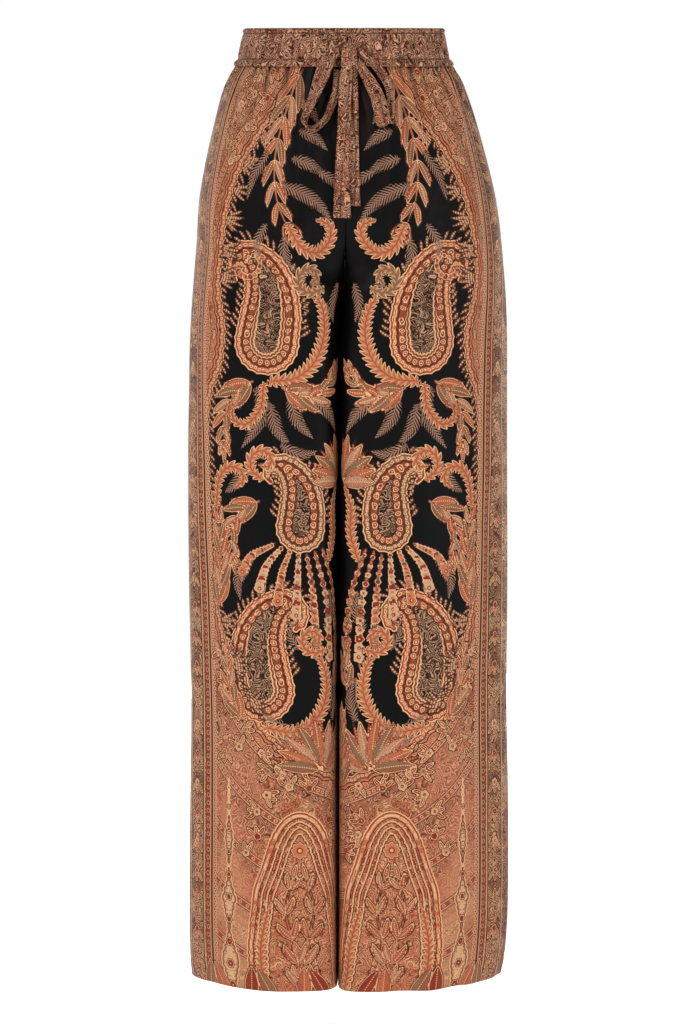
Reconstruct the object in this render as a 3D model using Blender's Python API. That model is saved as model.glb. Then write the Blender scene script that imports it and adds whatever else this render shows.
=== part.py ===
"""Wide-leg trousers with an elasticated waistband and a cloth drawstring tied in a bow.

The trousers are filled out as they are when worn. The origin is the centre of the waist, at half
the height of the waistband. +Z is up, the front faces -Y, and +X is the wearer's left.
"""

import math
from collections import namedtuple

import bmesh
import bpy
import numpy as np

# Driving dimensions, in metres.
BAND_HEIGHT = 0.042
LENGTH = 1.0815  # from the top of the waistband to the hem
WALL = 0.0015  # thickness of the cloth
SEAM_GAP = 0.0003  # between two pieces that are sewn together
LEG_GAP = 0.0010  # between the two legs, below the crotch
CROTCH_DEPTH = 0.316  # from the top of the waistband to the crotch
FRONT_VALLEY = 0.165  # height over which the cloth sinks in towards the crotch, in front
BACK_VALLEY = 0.200  # and behind
VALLEY_TOP = 2.4  # how gently the valley starts, as an exponent
VALLEY_FOOT = 0.77  # how gently it ends at the crotch
LEG_LEAN = 0.055  # how much the line between the legs turns from fore and aft, as a slope
GATHERS = 18  # on each quarter of the waist
GATHER_DEPTH = 0.0018  # from the bottom of a gather to its top
GATHER_FADE = 0.115  # length of the gathers below the waistband

BAND_TOP = BAND_HEIGHT / 2
BAND_BOTTOM = -BAND_HEIGHT / 2
PANEL_TOP = BAND_BOTTOM - SEAM_GAP
HEM = BAND_TOP - LENGTH
CROTCH = BAND_TOP - CROTCH_DEPTH

# The outline at a few heights. left and right are the half widths on the wearer's left and right,
# front and back the half depths, crest where the front of a leg stands out most, as a share of the
# half width, outer and inner the exponents of the curves from the crest to the side and to the
# centre (2 is an ellipse), and middle the x of the line between the legs.
Level = namedtuple("Level", "height left right front back crest outer inner middle")
LEVELS = [
    Level(0.0210, 0.1098, 0.1130, 0.0865, 0.0865, 0.10, 2.00, 2.2, 0.0000),
    Level(0.0000, 0.1114, 0.1156, 0.0882, 0.0885, 0.12, 2.00, 2.2, 0.0000),
    Level(-0.0213, 0.1200, 0.1234, 0.0912, 0.0925, 0.15, 2.00, 2.2, 0.0000),
    Level(-0.0360, 0.1294, 0.1322, 0.0950, 0.0980, 0.18, 1.98, 2.2, 0.0000),
    Level(-0.0580, 0.1384, 0.1400, 0.0990, 0.1045, 0.22, 1.95, 2.2, 0.0000),
    Level(-0.0810, 0.1462, 0.1464, 0.1025, 0.1100, 0.26, 1.92, 2.3, 0.0000),
    Level(-0.1260, 0.1587, 0.1567, 0.1070, 0.1180, 0.31, 1.88, 2.4, 0.0000),
    Level(-0.1700, 0.1690, 0.1645, 0.1095, 0.1220, 0.35, 1.86, 2.5, 0.0000),
    Level(-0.2150, 0.1752, 0.1674, 0.1100, 0.1220, 0.38, 1.83, 2.6, 0.0000),
    Level(-0.2600, 0.1795, 0.1706, 0.1085, 0.1190, 0.40, 1.80, 2.6, 0.0000),
    Level(-0.3056, 0.1812, 0.1730, 0.1060, 0.1140, 0.41, 1.77, 2.6, -0.0003),
    Level(-0.3960, 0.1818, 0.1756, 0.1015, 0.1060, 0.41, 1.74, 2.6, -0.0010),
    Level(-0.5100, 0.1830, 0.1770, 0.0980, 0.1000, 0.41, 1.71, 2.6, -0.0018),
    Level(-0.6250, 0.1838, 0.1763, 0.0955, 0.0965, 0.40, 1.69, 2.6, -0.0025),
    Level(-0.7400, 0.1836, 0.1748, 0.0935, 0.0940, 0.40, 1.67, 2.6, -0.0030),
    Level(-0.8570, 0.1862, 0.1770, 0.0915, 0.0920, 0.39, 1.65, 2.6, -0.0034),
    Level(-0.9740, 0.1868, 0.1788, 0.0900, 0.0900, 0.39, 1.63, 2.6, -0.0037),
    Level(-1.0330, 0.1840, 0.1785, 0.0885, 0.0885, 0.38, 1.62, 2.8, -0.0040),
    Level(-1.0605, 0.1790, 0.1762, 0.0875, 0.0875, 0.38, 1.60, 2.9, -0.0040),
]

# Heights of a panel's rings: the finer ones through the gathers and the crotch, then the plainer
# ones down the leg, with half as many points.
FINE_ROWS = [PANEL_TOP, -0.029, -0.040, -0.056, -0.078, -0.105, -0.136, -0.168, -0.196, -0.220]
FINE_ROWS += [-0.242, -0.260, -0.274, -0.284, -0.291, -0.296, -0.330]
PLAIN_ROWS = [-0.400, -0.500, -0.620, -0.740, -0.860, -0.970, -1.035, HEM]

# The waistband's outer face from its lower seam up. over is how far it stands out, and gathered the
# share of the gathers' depth there: a stitched ridge at each edge and a soft body between them.
BandRow = namedtuple("BandRow", "height over gathered")
BAND_ROWS = [
    BandRow(-0.0210, 0.0004, 0.6),
    BandRow(-0.0188, 0.0018, 1.0),
    BandRow(-0.0150, 0.0006, 0.7),
    BandRow(-0.0020, 0.0024, 1.0),
    BandRow(0.0130, 0.0012, 0.8),
    BandRow(0.0168, 0.0006, 1.0),
    BandRow(0.0210, 0.0010, 0.8),
]

# Long soft folds. at is the place between the side seam (0) and the centre or inseam (1), width the
# half width and rise the height of a fold, top and foot where it starts and ends.
Fold = namedtuple("Fold", "at width rise top foot")
FOLDS = {
    "front_left": [
        Fold(0.36, 0.020, 0.0030, -0.03, -0.42),
        Fold(0.62, 0.022, -0.0026, -0.10, -0.75),
        Fold(0.80, 0.016, 0.0026, -0.12, -0.34),
        Fold(0.45, 0.026, 0.0030, -0.60, -1.20),
        Fold(0.20, 0.024, -0.0024, -0.45, -1.20),
    ],
    "front_right": [
        Fold(0.30, 0.022, 0.0028, -0.03, -0.50),
        Fold(0.55, 0.020, -0.0028, -0.08, -0.60),
        Fold(0.78, 0.018, 0.0030, -0.12, -0.38),
        Fold(0.60, 0.028, 0.0030, -0.55, -1.20),
        Fold(0.25, 0.022, -0.0022, -0.50, -1.20),
    ],
    "back_left": [
        Fold(0.40, 0.024, 0.0032, -0.03, -0.50),
        Fold(0.70, 0.022, -0.0028, -0.25, -0.90),
        Fold(0.50, 0.028, 0.0032, -0.60, -1.20),
        Fold(0.15, 0.020, -0.0022, -0.40, -1.20),
    ],
    "back_right": [
        Fold(0.34, 0.022, 0.0030, -0.03, -0.44),
        Fold(0.66, 0.024, -0.0030, -0.30, -1.00),
        Fold(0.42, 0.026, 0.0032, -0.55, -1.20),
        Fold(0.18, 0.022, -0.0022, -0.45, -1.20),
    ],
}

# The tie, as stations along the cloth: x, z and over, its distance in front of the cloth behind it,
# of one edge (a, the nearer one on a loop) and of the other edge (b).
TIE_THICKNESS = 0.0018
Station = namedtuple("Station", "x_a z_a over_a x_b z_b over_b")
TIE_STRIPS = {
    "tie_loop_right": [
        Station(-0.0066, -0.0065, 0.0110, -0.0090, 0.0030, 0.0070),
        Station(-0.0118, -0.0160, 0.0135, -0.0230, -0.0060, 0.0058),
        Station(-0.0185, -0.0330, 0.0150, -0.0330, -0.0260, 0.0045),
        Station(-0.0255, -0.0475, 0.0160, -0.0385, -0.0450, 0.0040),
        Station(-0.0320, -0.0600, 0.0168, -0.0435, -0.0610, 0.0038),
        Station(-0.0385, -0.0715, 0.0172, -0.0480, -0.0740, 0.0035),
        Station(-0.0420, -0.0810, 0.0172, -0.0485, -0.0805, 0.0032),
        Station(-0.0400, -0.0880, 0.0168, -0.0440, -0.0850, 0.0030),
        Station(-0.0327, -0.0902, 0.0160, -0.0350, -0.0850, 0.0028),
        Station(-0.0250, -0.0855, 0.0150, -0.0280, -0.0800, 0.0026),
        Station(-0.0180, -0.0770, 0.0130, -0.0223, -0.0715, 0.0026),
        Station(-0.0115, -0.0650, 0.0090, -0.0186, -0.0594, 0.0026),
        Station(-0.0078, -0.0520, 0.0044, -0.0150, -0.0470, 0.0026),
        Station(-0.0060, -0.0380, 0.0030, -0.0140, -0.0350, 0.0026),
        Station(-0.0050, -0.0255, 0.0030, -0.0135, -0.0240, 0.0026),
    ],
    "tie_loop_left": [
        Station(0.0145, -0.0095, 0.0092, 0.0148, -0.0015, 0.0092),
        Station(0.0240, -0.0175, 0.0072, 0.0310, -0.0080, 0.0078),
        Station(0.0300, -0.0290, 0.0044, 0.0440, -0.0225, 0.0060),
        Station(0.0325, -0.0420, 0.0034, 0.0505, -0.0375, 0.0056),
        Station(0.0320, -0.0560, 0.0032, 0.0530, -0.0520, 0.0056),
        Station(0.0295, -0.0690, 0.0034, 0.0545, -0.0660, 0.0058),
        Station(0.0275, -0.0790, 0.0045, 0.0548, -0.0780, 0.0066),
        Station(0.0285, -0.0842, 0.0080, 0.0542, -0.0835, 0.0100),
        Station(0.0325, -0.0820, 0.0125, 0.0530, -0.0812, 0.0140),
        Station(0.0312, -0.0700, 0.0150, 0.0505, -0.0680, 0.0160),
        Station(0.0290, -0.0560, 0.0155, 0.0465, -0.0530, 0.0160),
        Station(0.0250, -0.0430, 0.0150, 0.0405, -0.0385, 0.0155),
        Station(0.0200, -0.0320, 0.0140, 0.0325, -0.0245, 0.0145),
        Station(0.0145, -0.0205, 0.0122, 0.0175, -0.0110, 0.0128),
    ],
    "tie_tail_right": [
        Station(0.0070, -0.0238, 0.0078, -0.0050, -0.0238, 0.0078),
        Station(0.0066, -0.0420, 0.0076, -0.0074, -0.0420, 0.0080),
        Station(0.0054, -0.0830, 0.0066, -0.0088, -0.0830, 0.0072),
        Station(0.0045, -0.1390, 0.0074, -0.0119, -0.1390, 0.0068),
        Station(0.0060, -0.1855, 0.0106, -0.0138, -0.1855, 0.0090),
    ],
    "tie_tail_left": [
        Station(0.0125, -0.0238, 0.0046, 0.0005, -0.0238, 0.0048),
        Station(0.0138, -0.0420, 0.0040, -0.0010, -0.0420, 0.0046),
        Station(0.0142, -0.0830, 0.0036, -0.0022, -0.0830, 0.0036),
        Station(0.0151, -0.1390, 0.0034, -0.0006, -0.1390, 0.0034),
        Station(0.0164, -0.1725, 0.0046, -0.0002, -0.1725, 0.0042),
    ],
}
KNOT_CENTRE = (0.0040, -0.0095)  # x and z
KNOT_SIZE = (0.0200, 0.0110, 0.0270)
KNOT_EDGE = 0.0035
KNOT_OVER = 0.0004  # from the waistband to the back of the knot

CURVE_POINTS = 240  # along each half of a section, before it is spaced out evenly
SHARP_FOLD = math.radians(24)
PLAIN_WIDTH = 0.235  # of a panel, from its side seam to where it widens towards the crotch
STRETCH_FROM = 0.35  # the share of its columns after which they spread


def level_at(height):
    """The outline's values at a height, on smooth curves through the table."""
    heights = [level.height for level in LEVELS]
    at = min(max(height, heights[-1]), heights[0])
    index = next(i for i in range(len(LEVELS) - 1) if at >= heights[i + 1])
    around = [LEVELS[min(max(index + k, 0), len(LEVELS) - 1)] for k in (-1, 0, 1, 2)]
    before, top, low, after = (np.array(level) for level in around)
    span = top[0] - low[0]
    share = (top[0] - at) / span
    leave = (low - before) / (before[0] - low[0]) * span
    arrive = (after - top) / (top[0] - after[0]) * span
    values = (
        (2 * share**3 - 3 * share**2 + 1) * top
        + (share**3 - 2 * share**2 + share) * leave
        + (3 * share**2 - 2 * share**3) * low
        + (share**3 - share**2) * arrive
    )
    return Level(height, *values[1:])


def smooth_step(value, low, high):
    share = min(max((value - low) / (high - low), 0.0), 1.0)
    return share * share * (3 - 2 * share)


def valley_share(height, valley):
    """How much of the depth is left at the centre line: 1 above the valley and 0 at the crotch."""
    up = min(max((height - CROTCH) / valley, 0.0), 1.0)
    return (1 - (1 - up) ** VALLEY_TOP) ** VALLEY_FOOT


def section(height, side, face):
    """A quarter of the outline from the side seam to the centre line, as x and y of many points.

    side is 1 on the wearer's left and -1 on the right, face is -1 in front and 1 behind.
    """
    level = level_at(height)
    half_width = level.left if side > 0 else level.right
    depth, valley = (level.front, FRONT_VALLEY) if face < 0 else (level.back, BACK_VALLEY)
    kept = valley_share(height, valley)
    below = smooth_step(CROTCH - height, -0.02, 0.05)
    parting = level.middle * side + SEAM_GAP / 2 + below * (LEG_GAP - SEAM_GAP) / 2
    crest = half_width * level.crest
    angle = np.linspace(0, math.pi / 2, CURVE_POINTS)
    side_x = crest + (half_width - crest) * np.cos(angle) ** (2 / level.outer)
    side_y = depth * np.sin(angle) ** (2 / level.outer)
    inward = 1 - np.sin(angle) ** (2 / level.inner)
    deep = smooth_step(1 - kept, 0.03, 0.55)
    round_turn = np.cos(angle) ** (2 / level.inner)
    soft_turn = (1 - np.cos(math.pi * inward)) / 2
    turn = deep * round_turn + (1 - deep) * soft_turn
    centre_x = parting + (crest - parting) * inward
    centre_y = depth * (kept + (1 - kept) * turn)
    x = np.concatenate([side_x, centre_x[1:]])
    y = np.maximum(np.concatenate([side_y, centre_y[1:]]), SEAM_GAP / 2) * face
    lean = LEG_LEAN * smooth_step(-height, 0.20, 0.34)
    return np.stack([x * side + lean * y, y], axis=1)


def even_places(length, columns):
    return np.linspace(0, length, columns + 1)


def panel_places(length, columns):
    """Distances from the side seam: even over the plain width, stretched towards the crotch."""
    share = np.linspace(0, 1, columns + 1)
    plain = min(length, PLAIN_WIDTH)
    near = np.clip((share - STRETCH_FROM) / (1 - STRETCH_FROM), 0, 1)
    return share * plain + (length - plain) * near**1.5


def spaced(points, columns, places_for=even_places):
    """The curve through the points, as columns + 1 points at chosen places, with its ends trimmed."""
    steps = np.linalg.norm(np.diff(points, axis=0), axis=1)
    along = np.concatenate([[0], np.cumsum(steps)])
    places = places_for(along[-1], columns)
    places = np.clip(places, SEAM_GAP / 2, along[-1] - SEAM_GAP / 2)
    return np.stack([np.interp(places, along, points[:, k]) for k in (0, 1)], axis=1)


def normals_of(grid):
    """Unit normals of a grid of points, away from the inside of the garment."""
    down = np.gradient(grid, axis=0)
    across = np.gradient(grid, axis=1)
    normals = np.cross(across, down)
    return normals / np.linalg.norm(normals, axis=2, keepdims=True)


def pushed(grid, normals, amount):
    return grid + normals * np.asarray(amount)[..., None]


def fold_rise(folds, height, share, length):
    """The height of the long folds at one ring, for each place between its two seams."""
    rise = np.zeros_like(share)
    for fold in folds:
        ends = smooth_step(fold.top - height, 0.0, 0.12) * smooth_step(height - fold.foot, 0.0, 0.15)
        rise += fold.rise * ends * np.exp(-(((share - fold.at) * length / fold.width) ** 2))
    seams = np.minimum(share, 1 - share) * length
    return rise * np.clip(seams / 0.02, 0, 1)


def gather_rise(height, columns):
    """A gather for every two columns, which ends below the waistband."""
    left = smooth_step(height, PANEL_TOP - GATHER_FADE, PANEL_TOP)
    wave = np.where(np.arange(columns + 1) % 2 == 1, 0.5, -0.5)
    return GATHER_DEPTH * left * wave


def wall_mesh(name, outer, inner, steps):
    """A closed wall from two grids of points. steps is 1 or 2 for each row, 2 skipping points."""
    work = bmesh.new()
    skins = []
    for grid in (outer, inner):
        skins.append([[work.verts.new(point) for point in row] for row in grid])
    last = len(outer[0]) - 1

    def quad(a, b, c, d):
        work.faces.new((a, b, c))
        work.faces.new((a, c, d))

    for skin in skins:
        for row in range(len(skin) - 1):
            upper, lower = skin[row], skin[row + 1]
            for i in range(0, last, steps[row + 1]):
                if steps[row] == steps[row + 1]:
                    j = i + steps[row]
                    quad(upper[i], lower[i], lower[j], upper[j])
                else:
                    work.faces.new((upper[i], lower[i], upper[i + 1]))
                    work.faces.new((upper[i + 1], lower[i], lower[i + 2]))
                    work.faces.new((upper[i + 1], lower[i + 2], upper[i + 2]))
    out, into = skins
    for row in (0, len(out) - 1):
        for i in range(0, last, steps[row]):
            j = i + steps[row]
            quad(out[row][i], into[row][i], into[row][j], out[row][j])
    for row in range(len(out) - 1):
        for i in (0, last):
            quad(out[row][i], into[row][i], into[row + 1][i], out[row + 1][i])
    for vert in [vert for vert in work.verts if not vert.link_faces]:
        work.verts.remove(vert)
    return solid_object(name, work)


def ring_mesh(name, rings):
    """A closed solid from rings of points that follow each other round and meet again."""
    work = bmesh.new()
    verts = [[work.verts.new(point) for point in ring] for ring in rings]
    for this, following in zip(verts, verts[1:] + verts[:1]):
        for i in range(len(this)):
            j = (i + 1) % len(this)
            work.faces.new((this[i], this[j], following[j]))
            work.faces.new((this[i], following[j], following[i]))
    return solid_object(name, work)


def solid_object(name, work):
    bmesh.ops.recalc_face_normals(work, faces=work.faces)
    mesh = bpy.data.meshes.new(name)
    work.to_mesh(mesh)
    work.free()
    thing = bpy.data.objects.new(name, mesh)
    bpy.context.scene.collection.objects.link(thing)
    return thing


def cloth_material(name, colour, roughness):
    material = bpy.data.materials.new(name)
    material.use_nodes = True
    shader = material.node_tree.nodes["Principled BSDF"]
    shader.inputs["Base Color"].default_value = (*colour, 1)
    shader.inputs["Roughness"].default_value = roughness
    shader.inputs["Metallic"].default_value = 0
    return material


def finish(thing, material):
    thing.data.materials.append(material)
    thing.data.shade_smooth()
    thing.data.set_sharp_from_angle(angle=SHARP_FOLD)


def panel(name, side, face):
    """One of the four panels: a curved wall from the side seam to the centre line and inseam."""
    heights = FINE_ROWS + PLAIN_ROWS
    columns = 2 * GATHERS
    share = np.linspace(0, 1, columns + 1)
    rows = []
    rises = []
    for height in heights:
        curve = section(height, side, face)
        length = np.linalg.norm(np.diff(curve, axis=0), axis=1).sum()
        flat = spaced(curve, columns, panel_places)
        rows.append(np.column_stack([flat, np.full(columns + 1, height)]))
        rises.append(fold_rise(FOLDS[name], height, share, length) + gather_rise(height, columns))
    base = np.array(rows)
    normals = normals_of(base) * -side * face
    outer = pushed(base, normals, rises)
    inner = pushed(outer, normals, -WALL)
    for grid in (outer, inner):
        grid[0, :, 2] = PANEL_TOP
        grid[-1, :, 2] = HEM
        grid[:, :, 1] = np.maximum(grid[:, :, 1] * face, SEAM_GAP / 2) * face
        above = np.array(heights) > CROTCH
        centre = np.maximum(grid[above, :, 0] * side, SEAM_GAP / 2) * side
        grid[above, :, 0] = centre
    steps = [1] * len(FINE_ROWS) + [2] * len(PLAIN_ROWS)
    return wall_mesh(name, outer, inner, steps)


def band_outline(height, columns):
    """The waistband's outline at a height, all round from the wearer's left side."""
    quarters = []
    for side, face, turned in ((1, -1, False), (-1, -1, True), (-1, 1, False), (1, 1, True)):
        points = spaced(section(height, side, face), columns // 4)
        quarters.append((points[::-1] if turned else points)[:-1])
    return np.concatenate(quarters)


def waistband():
    """One ring of cloth over elastic, with a gather for every two columns."""
    columns = 8 * GATHERS
    wave = np.where(np.arange(columns) % 2 == 1, 0.5, -0.5) * GATHER_DEPTH
    outside = []
    inside = []
    for row in BAND_ROWS:
        flat = band_outline(row.height, columns)
        tangent = np.roll(flat, -1, axis=0) - np.roll(flat, 1, axis=0)
        outward = np.stack([-tangent[:, 1], tangent[:, 0]], axis=1)
        outward /= np.linalg.norm(outward, axis=1, keepdims=True)
        outward *= np.sign((outward * flat).sum(axis=1, keepdims=True))
        stand = row.over + row.gathered * wave
        outside.append([(*point, row.height) for point in flat + outward * stand[:, None]])
        inside.append([(*point, row.height) for point in flat - outward * WALL])
    return ring_mesh("waistband", outside + [inside[-1], inside[0]])


def cloth_front(x, z):
    """The y of the front of the garment's plain form at a place near the centre line."""
    curve = section(z, 1 if x >= 0 else -1, -1)
    order = np.argsort(curve[:, 0])
    return float(np.interp(x, curve[order, 0], curve[order, 1]))


def tie_strip(name, stations):
    """A flat stretch of the tie through its stations: six points round it at each."""
    edges = []
    for station in stations:
        for x, z, over in (station[:3], station[3:]):
            edges.append((x, cloth_front(x, z) - over, z))
    edges = np.array(edges).reshape(-1, 2, 3)
    middles = edges.mean(axis=1)
    along = np.gradient(middles, axis=0)
    halves = edges[:, 0] - middles
    flats = np.cross(along, halves)
    flats *= TIE_THICKNESS / 2 / np.linalg.norm(flats, axis=1, keepdims=True)
    work = bmesh.new()
    rings = []
    for middle, half, flat in zip(middles, halves, flats):
        edge = half * 0.86
        round_it = (half, edge + flat, flat - edge, -half, -edge - flat, edge - flat)
        rings.append([work.verts.new(middle + corner) for corner in round_it])
    for this, following in zip(rings, rings[1:]):
        for i in range(6):
            work.faces.new((this[i], this[(i + 1) % 6], following[(i + 1) % 6], following[i]))
    work.faces.new(rings[0])
    work.faces.new(rings[-1])
    bmesh.ops.triangulate(work, faces=work.faces)
    return solid_object(name, work)


def tie_knot():
    """The knot, a rounded block of cloth on the front of the waistband."""
    x, z = KNOT_CENTRE
    wide, deep, high = KNOT_SIZE
    work = bmesh.new()
    bmesh.ops.create_cube(work, size=1)
    bmesh.ops.scale(work, vec=(wide, deep, high), verts=work.verts)
    edges = list(work.edges)
    bmesh.ops.bevel(work, geom=edges, offset=KNOT_EDGE, segments=3, profile=0.5, affect="EDGES")
    faces = [(row.height, row.over + row.gathered * GATHER_DEPTH / 2) for row in BAND_ROWS]
    faces.append((z - high / 2, GATHER_DEPTH / 2))
    back = min(cloth_front(x, height) - over for height, over in faces) - KNOT_OVER
    bmesh.ops.translate(work, vec=(x, back - deep / 2, z), verts=work.verts)
    bmesh.ops.triangulate(work, faces=work.faces)
    return solid_object("tie_knot", work)


def main():
    for thing in list(bpy.data.objects):
        bpy.data.objects.remove(thing)
    print_cloth = cloth_material("printed_cloth", (0.24, 0.10, 0.055), 0.5)
    band_cloth = cloth_material("band_cloth", (0.27, 0.12, 0.07), 0.55)
    tie_cloth = cloth_material("tie_cloth", (0.22, 0.09, 0.055), 0.55)
    for leg, side in (("left", 1), ("right", -1)):
        finish(panel(f"front_{leg}", side, -1), print_cloth)
        finish(panel(f"back_{leg}", side, 1), print_cloth)
    finish(waistband(), band_cloth)
    finish(tie_knot(), tie_cloth)
    for name, stations in TIE_STRIPS.items():
        finish(tie_strip(name, stations), tie_cloth)


main()
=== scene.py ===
"""The looks of wide-leg trousers with an elasticated waistband and a cloth drawstring.

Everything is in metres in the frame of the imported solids: the origin is the centre of the waist,
+Z is up, the front faces -Y and +X is the wearer's left. The print is drawn in millimetres of
cloth: x from the centre front or back to the side seam, and v down from the waist.
"""

import math
from collections import namedtuple

import bmesh
import bpy
import numpy as np
from bpy.props import FloatProperty, FloatVectorProperty, PointerProperty
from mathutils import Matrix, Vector


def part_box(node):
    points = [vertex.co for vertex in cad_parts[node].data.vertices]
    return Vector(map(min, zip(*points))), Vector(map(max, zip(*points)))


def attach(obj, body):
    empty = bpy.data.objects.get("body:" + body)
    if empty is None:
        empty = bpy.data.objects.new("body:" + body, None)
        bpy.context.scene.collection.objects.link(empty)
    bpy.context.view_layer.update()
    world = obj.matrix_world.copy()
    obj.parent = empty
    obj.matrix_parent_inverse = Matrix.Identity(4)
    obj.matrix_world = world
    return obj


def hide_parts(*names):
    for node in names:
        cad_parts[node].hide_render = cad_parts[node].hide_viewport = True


bl_info = {
    "name": "Wide-leg drawstring trousers",
    "version": (1, 0, 0),
    "blender": (4, 5, 0),
    "location": "3D View > Sidebar > Trousers",
    "description": "Printed wide-leg trousers on an elasticated waistband with a tied drawstring",
    "category": "Object",
}

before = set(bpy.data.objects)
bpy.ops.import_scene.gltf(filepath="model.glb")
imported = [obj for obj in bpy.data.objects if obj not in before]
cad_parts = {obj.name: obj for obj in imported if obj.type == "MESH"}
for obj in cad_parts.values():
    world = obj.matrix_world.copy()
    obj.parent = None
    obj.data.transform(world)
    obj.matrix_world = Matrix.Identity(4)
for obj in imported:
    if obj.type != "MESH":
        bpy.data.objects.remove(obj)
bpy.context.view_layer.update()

# Sizes that the solids have too, in metres.
BAND_HEIGHT = 0.042
LENGTH = 1.0815  # from the top of the waistband to the hem
CROTCH_DEPTH = 0.316  # from the top of the waistband to the crotch
FRONT_VALLEY = 0.165  # height over which the cloth sinks in towards the crotch, in front
BACK_VALLEY = 0.200  # and behind
VALLEY_TOP = 2.4  # how gently the valley starts, as an exponent
VALLEY_FOOT = 0.77  # how gently it ends at the crotch
LEG_LEAN = 0.055  # how much the line between the legs turns from fore and aft, as a slope
LEG_GAP = 0.0010  # between the two legs, below the crotch
LEG_BEND = 0.0024  # how far the line between the legs bends, so that no light comes through
INNER_SQUARE = 3.6  # how much squarer the legs are towards each other, as an exponent
BAND_TOP = BAND_HEIGHT / 2
PANEL_TOP = -BAND_HEIGHT / 2 - 0.0002
HEM = BAND_TOP - LENGTH
CROTCH = BAND_TOP - CROTCH_DEPTH
CURVE_POINTS = 240  # along each half of a section, before it is spaced out

# The outline at a few heights. left and right are the half widths on the wearer's left and right,
# front and back the half depths, crest where the front of a leg stands out most, as a share of the
# half width, outer and inner the exponents of the curves from the crest to the side and to the
# centre (2 is an ellipse), and middle the x of the line between the legs.
Level = namedtuple("Level", "height left right front back crest outer inner middle")
LEVELS = [
    Level(*row)
    for row in (
        (0.0210, 0.1098, 0.1130, 0.0865, 0.0865, 0.10, 2.00, 2.2, 0.0000),
        (0.0000, 0.1114, 0.1156, 0.0882, 0.0885, 0.12, 2.00, 2.2, 0.0000),
        (-0.0213, 0.1200, 0.1234, 0.0912, 0.0925, 0.15, 2.00, 2.2, 0.0000),
        (-0.0360, 0.1294, 0.1322, 0.0950, 0.0980, 0.18, 1.98, 2.2, 0.0000),
        (-0.0580, 0.1384, 0.1400, 0.0990, 0.1045, 0.22, 1.95, 2.2, 0.0000),
        (-0.0810, 0.1462, 0.1464, 0.1025, 0.1100, 0.26, 1.92, 2.3, 0.0000),
        (-0.1260, 0.1587, 0.1567, 0.1070, 0.1180, 0.31, 1.88, 2.4, 0.0000),
        (-0.1700, 0.1690, 0.1645, 0.1095, 0.1220, 0.35, 1.86, 2.5, 0.0000),
        (-0.2150, 0.1752, 0.1674, 0.1100, 0.1220, 0.38, 1.83, 2.6, 0.0000),
        (-0.2600, 0.1795, 0.1706, 0.1085, 0.1190, 0.40, 1.80, 2.6, 0.0000),
        (-0.3056, 0.1812, 0.1730, 0.1060, 0.1140, 0.41, 1.77, 2.6, -0.0003),
        (-0.3960, 0.1818, 0.1756, 0.1015, 0.1060, 0.41, 1.74, 2.6, -0.0010),
        (-0.5100, 0.1830, 0.1770, 0.0980, 0.1000, 0.41, 1.71, 2.6, -0.0018),
        (-0.6250, 0.1838, 0.1763, 0.0955, 0.0965, 0.40, 1.69, 2.6, -0.0025),
        (-0.7400, 0.1836, 0.1748, 0.0935, 0.0940, 0.40, 1.67, 2.6, -0.0030),
        (-0.8570, 0.1862, 0.1770, 0.0915, 0.0920, 0.39, 1.65, 2.6, -0.0034),
        (-0.9740, 0.1868, 0.1788, 0.0900, 0.0900, 0.39, 1.63, 2.6, -0.0037),
        (-1.0330, 0.1840, 0.1785, 0.0885, 0.0885, 0.38, 1.62, 2.8, -0.0040),
        (-1.0605, 0.1790, 0.1762, 0.0875, 0.0875, 0.38, 1.60, 2.9, -0.0040),
    )
]

# Long soft folds: the place between the side seam (0) and the centre or inseam (1), the half width
# and the height of a fold, and where it starts and ends.
FOLDS = {
    "front_left": [
        (0.36, 0.020, 0.0030, -0.03, -0.42),
        (0.62, 0.022, -0.0026, -0.10, -0.75),
        (0.80, 0.016, 0.0026, -0.12, -0.34),
        (0.45, 0.026, 0.0030, -0.60, -1.20),
        (0.20, 0.024, -0.0024, -0.45, -1.20),
    ],
    "front_right": [
        (0.30, 0.022, 0.0028, -0.03, -0.50),
        (0.55, 0.020, -0.0028, -0.08, -0.60),
        (0.78, 0.018, 0.0030, -0.12, -0.38),
        (0.60, 0.028, 0.0030, -0.55, -1.20),
        (0.25, 0.022, -0.0022, -0.50, -1.20),
    ],
    "back_left": [
        (0.40, 0.024, 0.0032, -0.03, -0.50),
        (0.70, 0.022, -0.0028, -0.25, -0.90),
        (0.50, 0.028, 0.0032, -0.60, -1.20),
        (0.15, 0.020, -0.0022, -0.40, -1.20),
    ],
    "back_right": [
        (0.34, 0.022, 0.0030, -0.03, -0.44),
        (0.66, 0.024, -0.0030, -0.30, -1.00),
        (0.42, 0.026, 0.0032, -0.55, -1.20),
        (0.18, 0.022, -0.0022, -0.45, -1.20),
    ],
}

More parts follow.
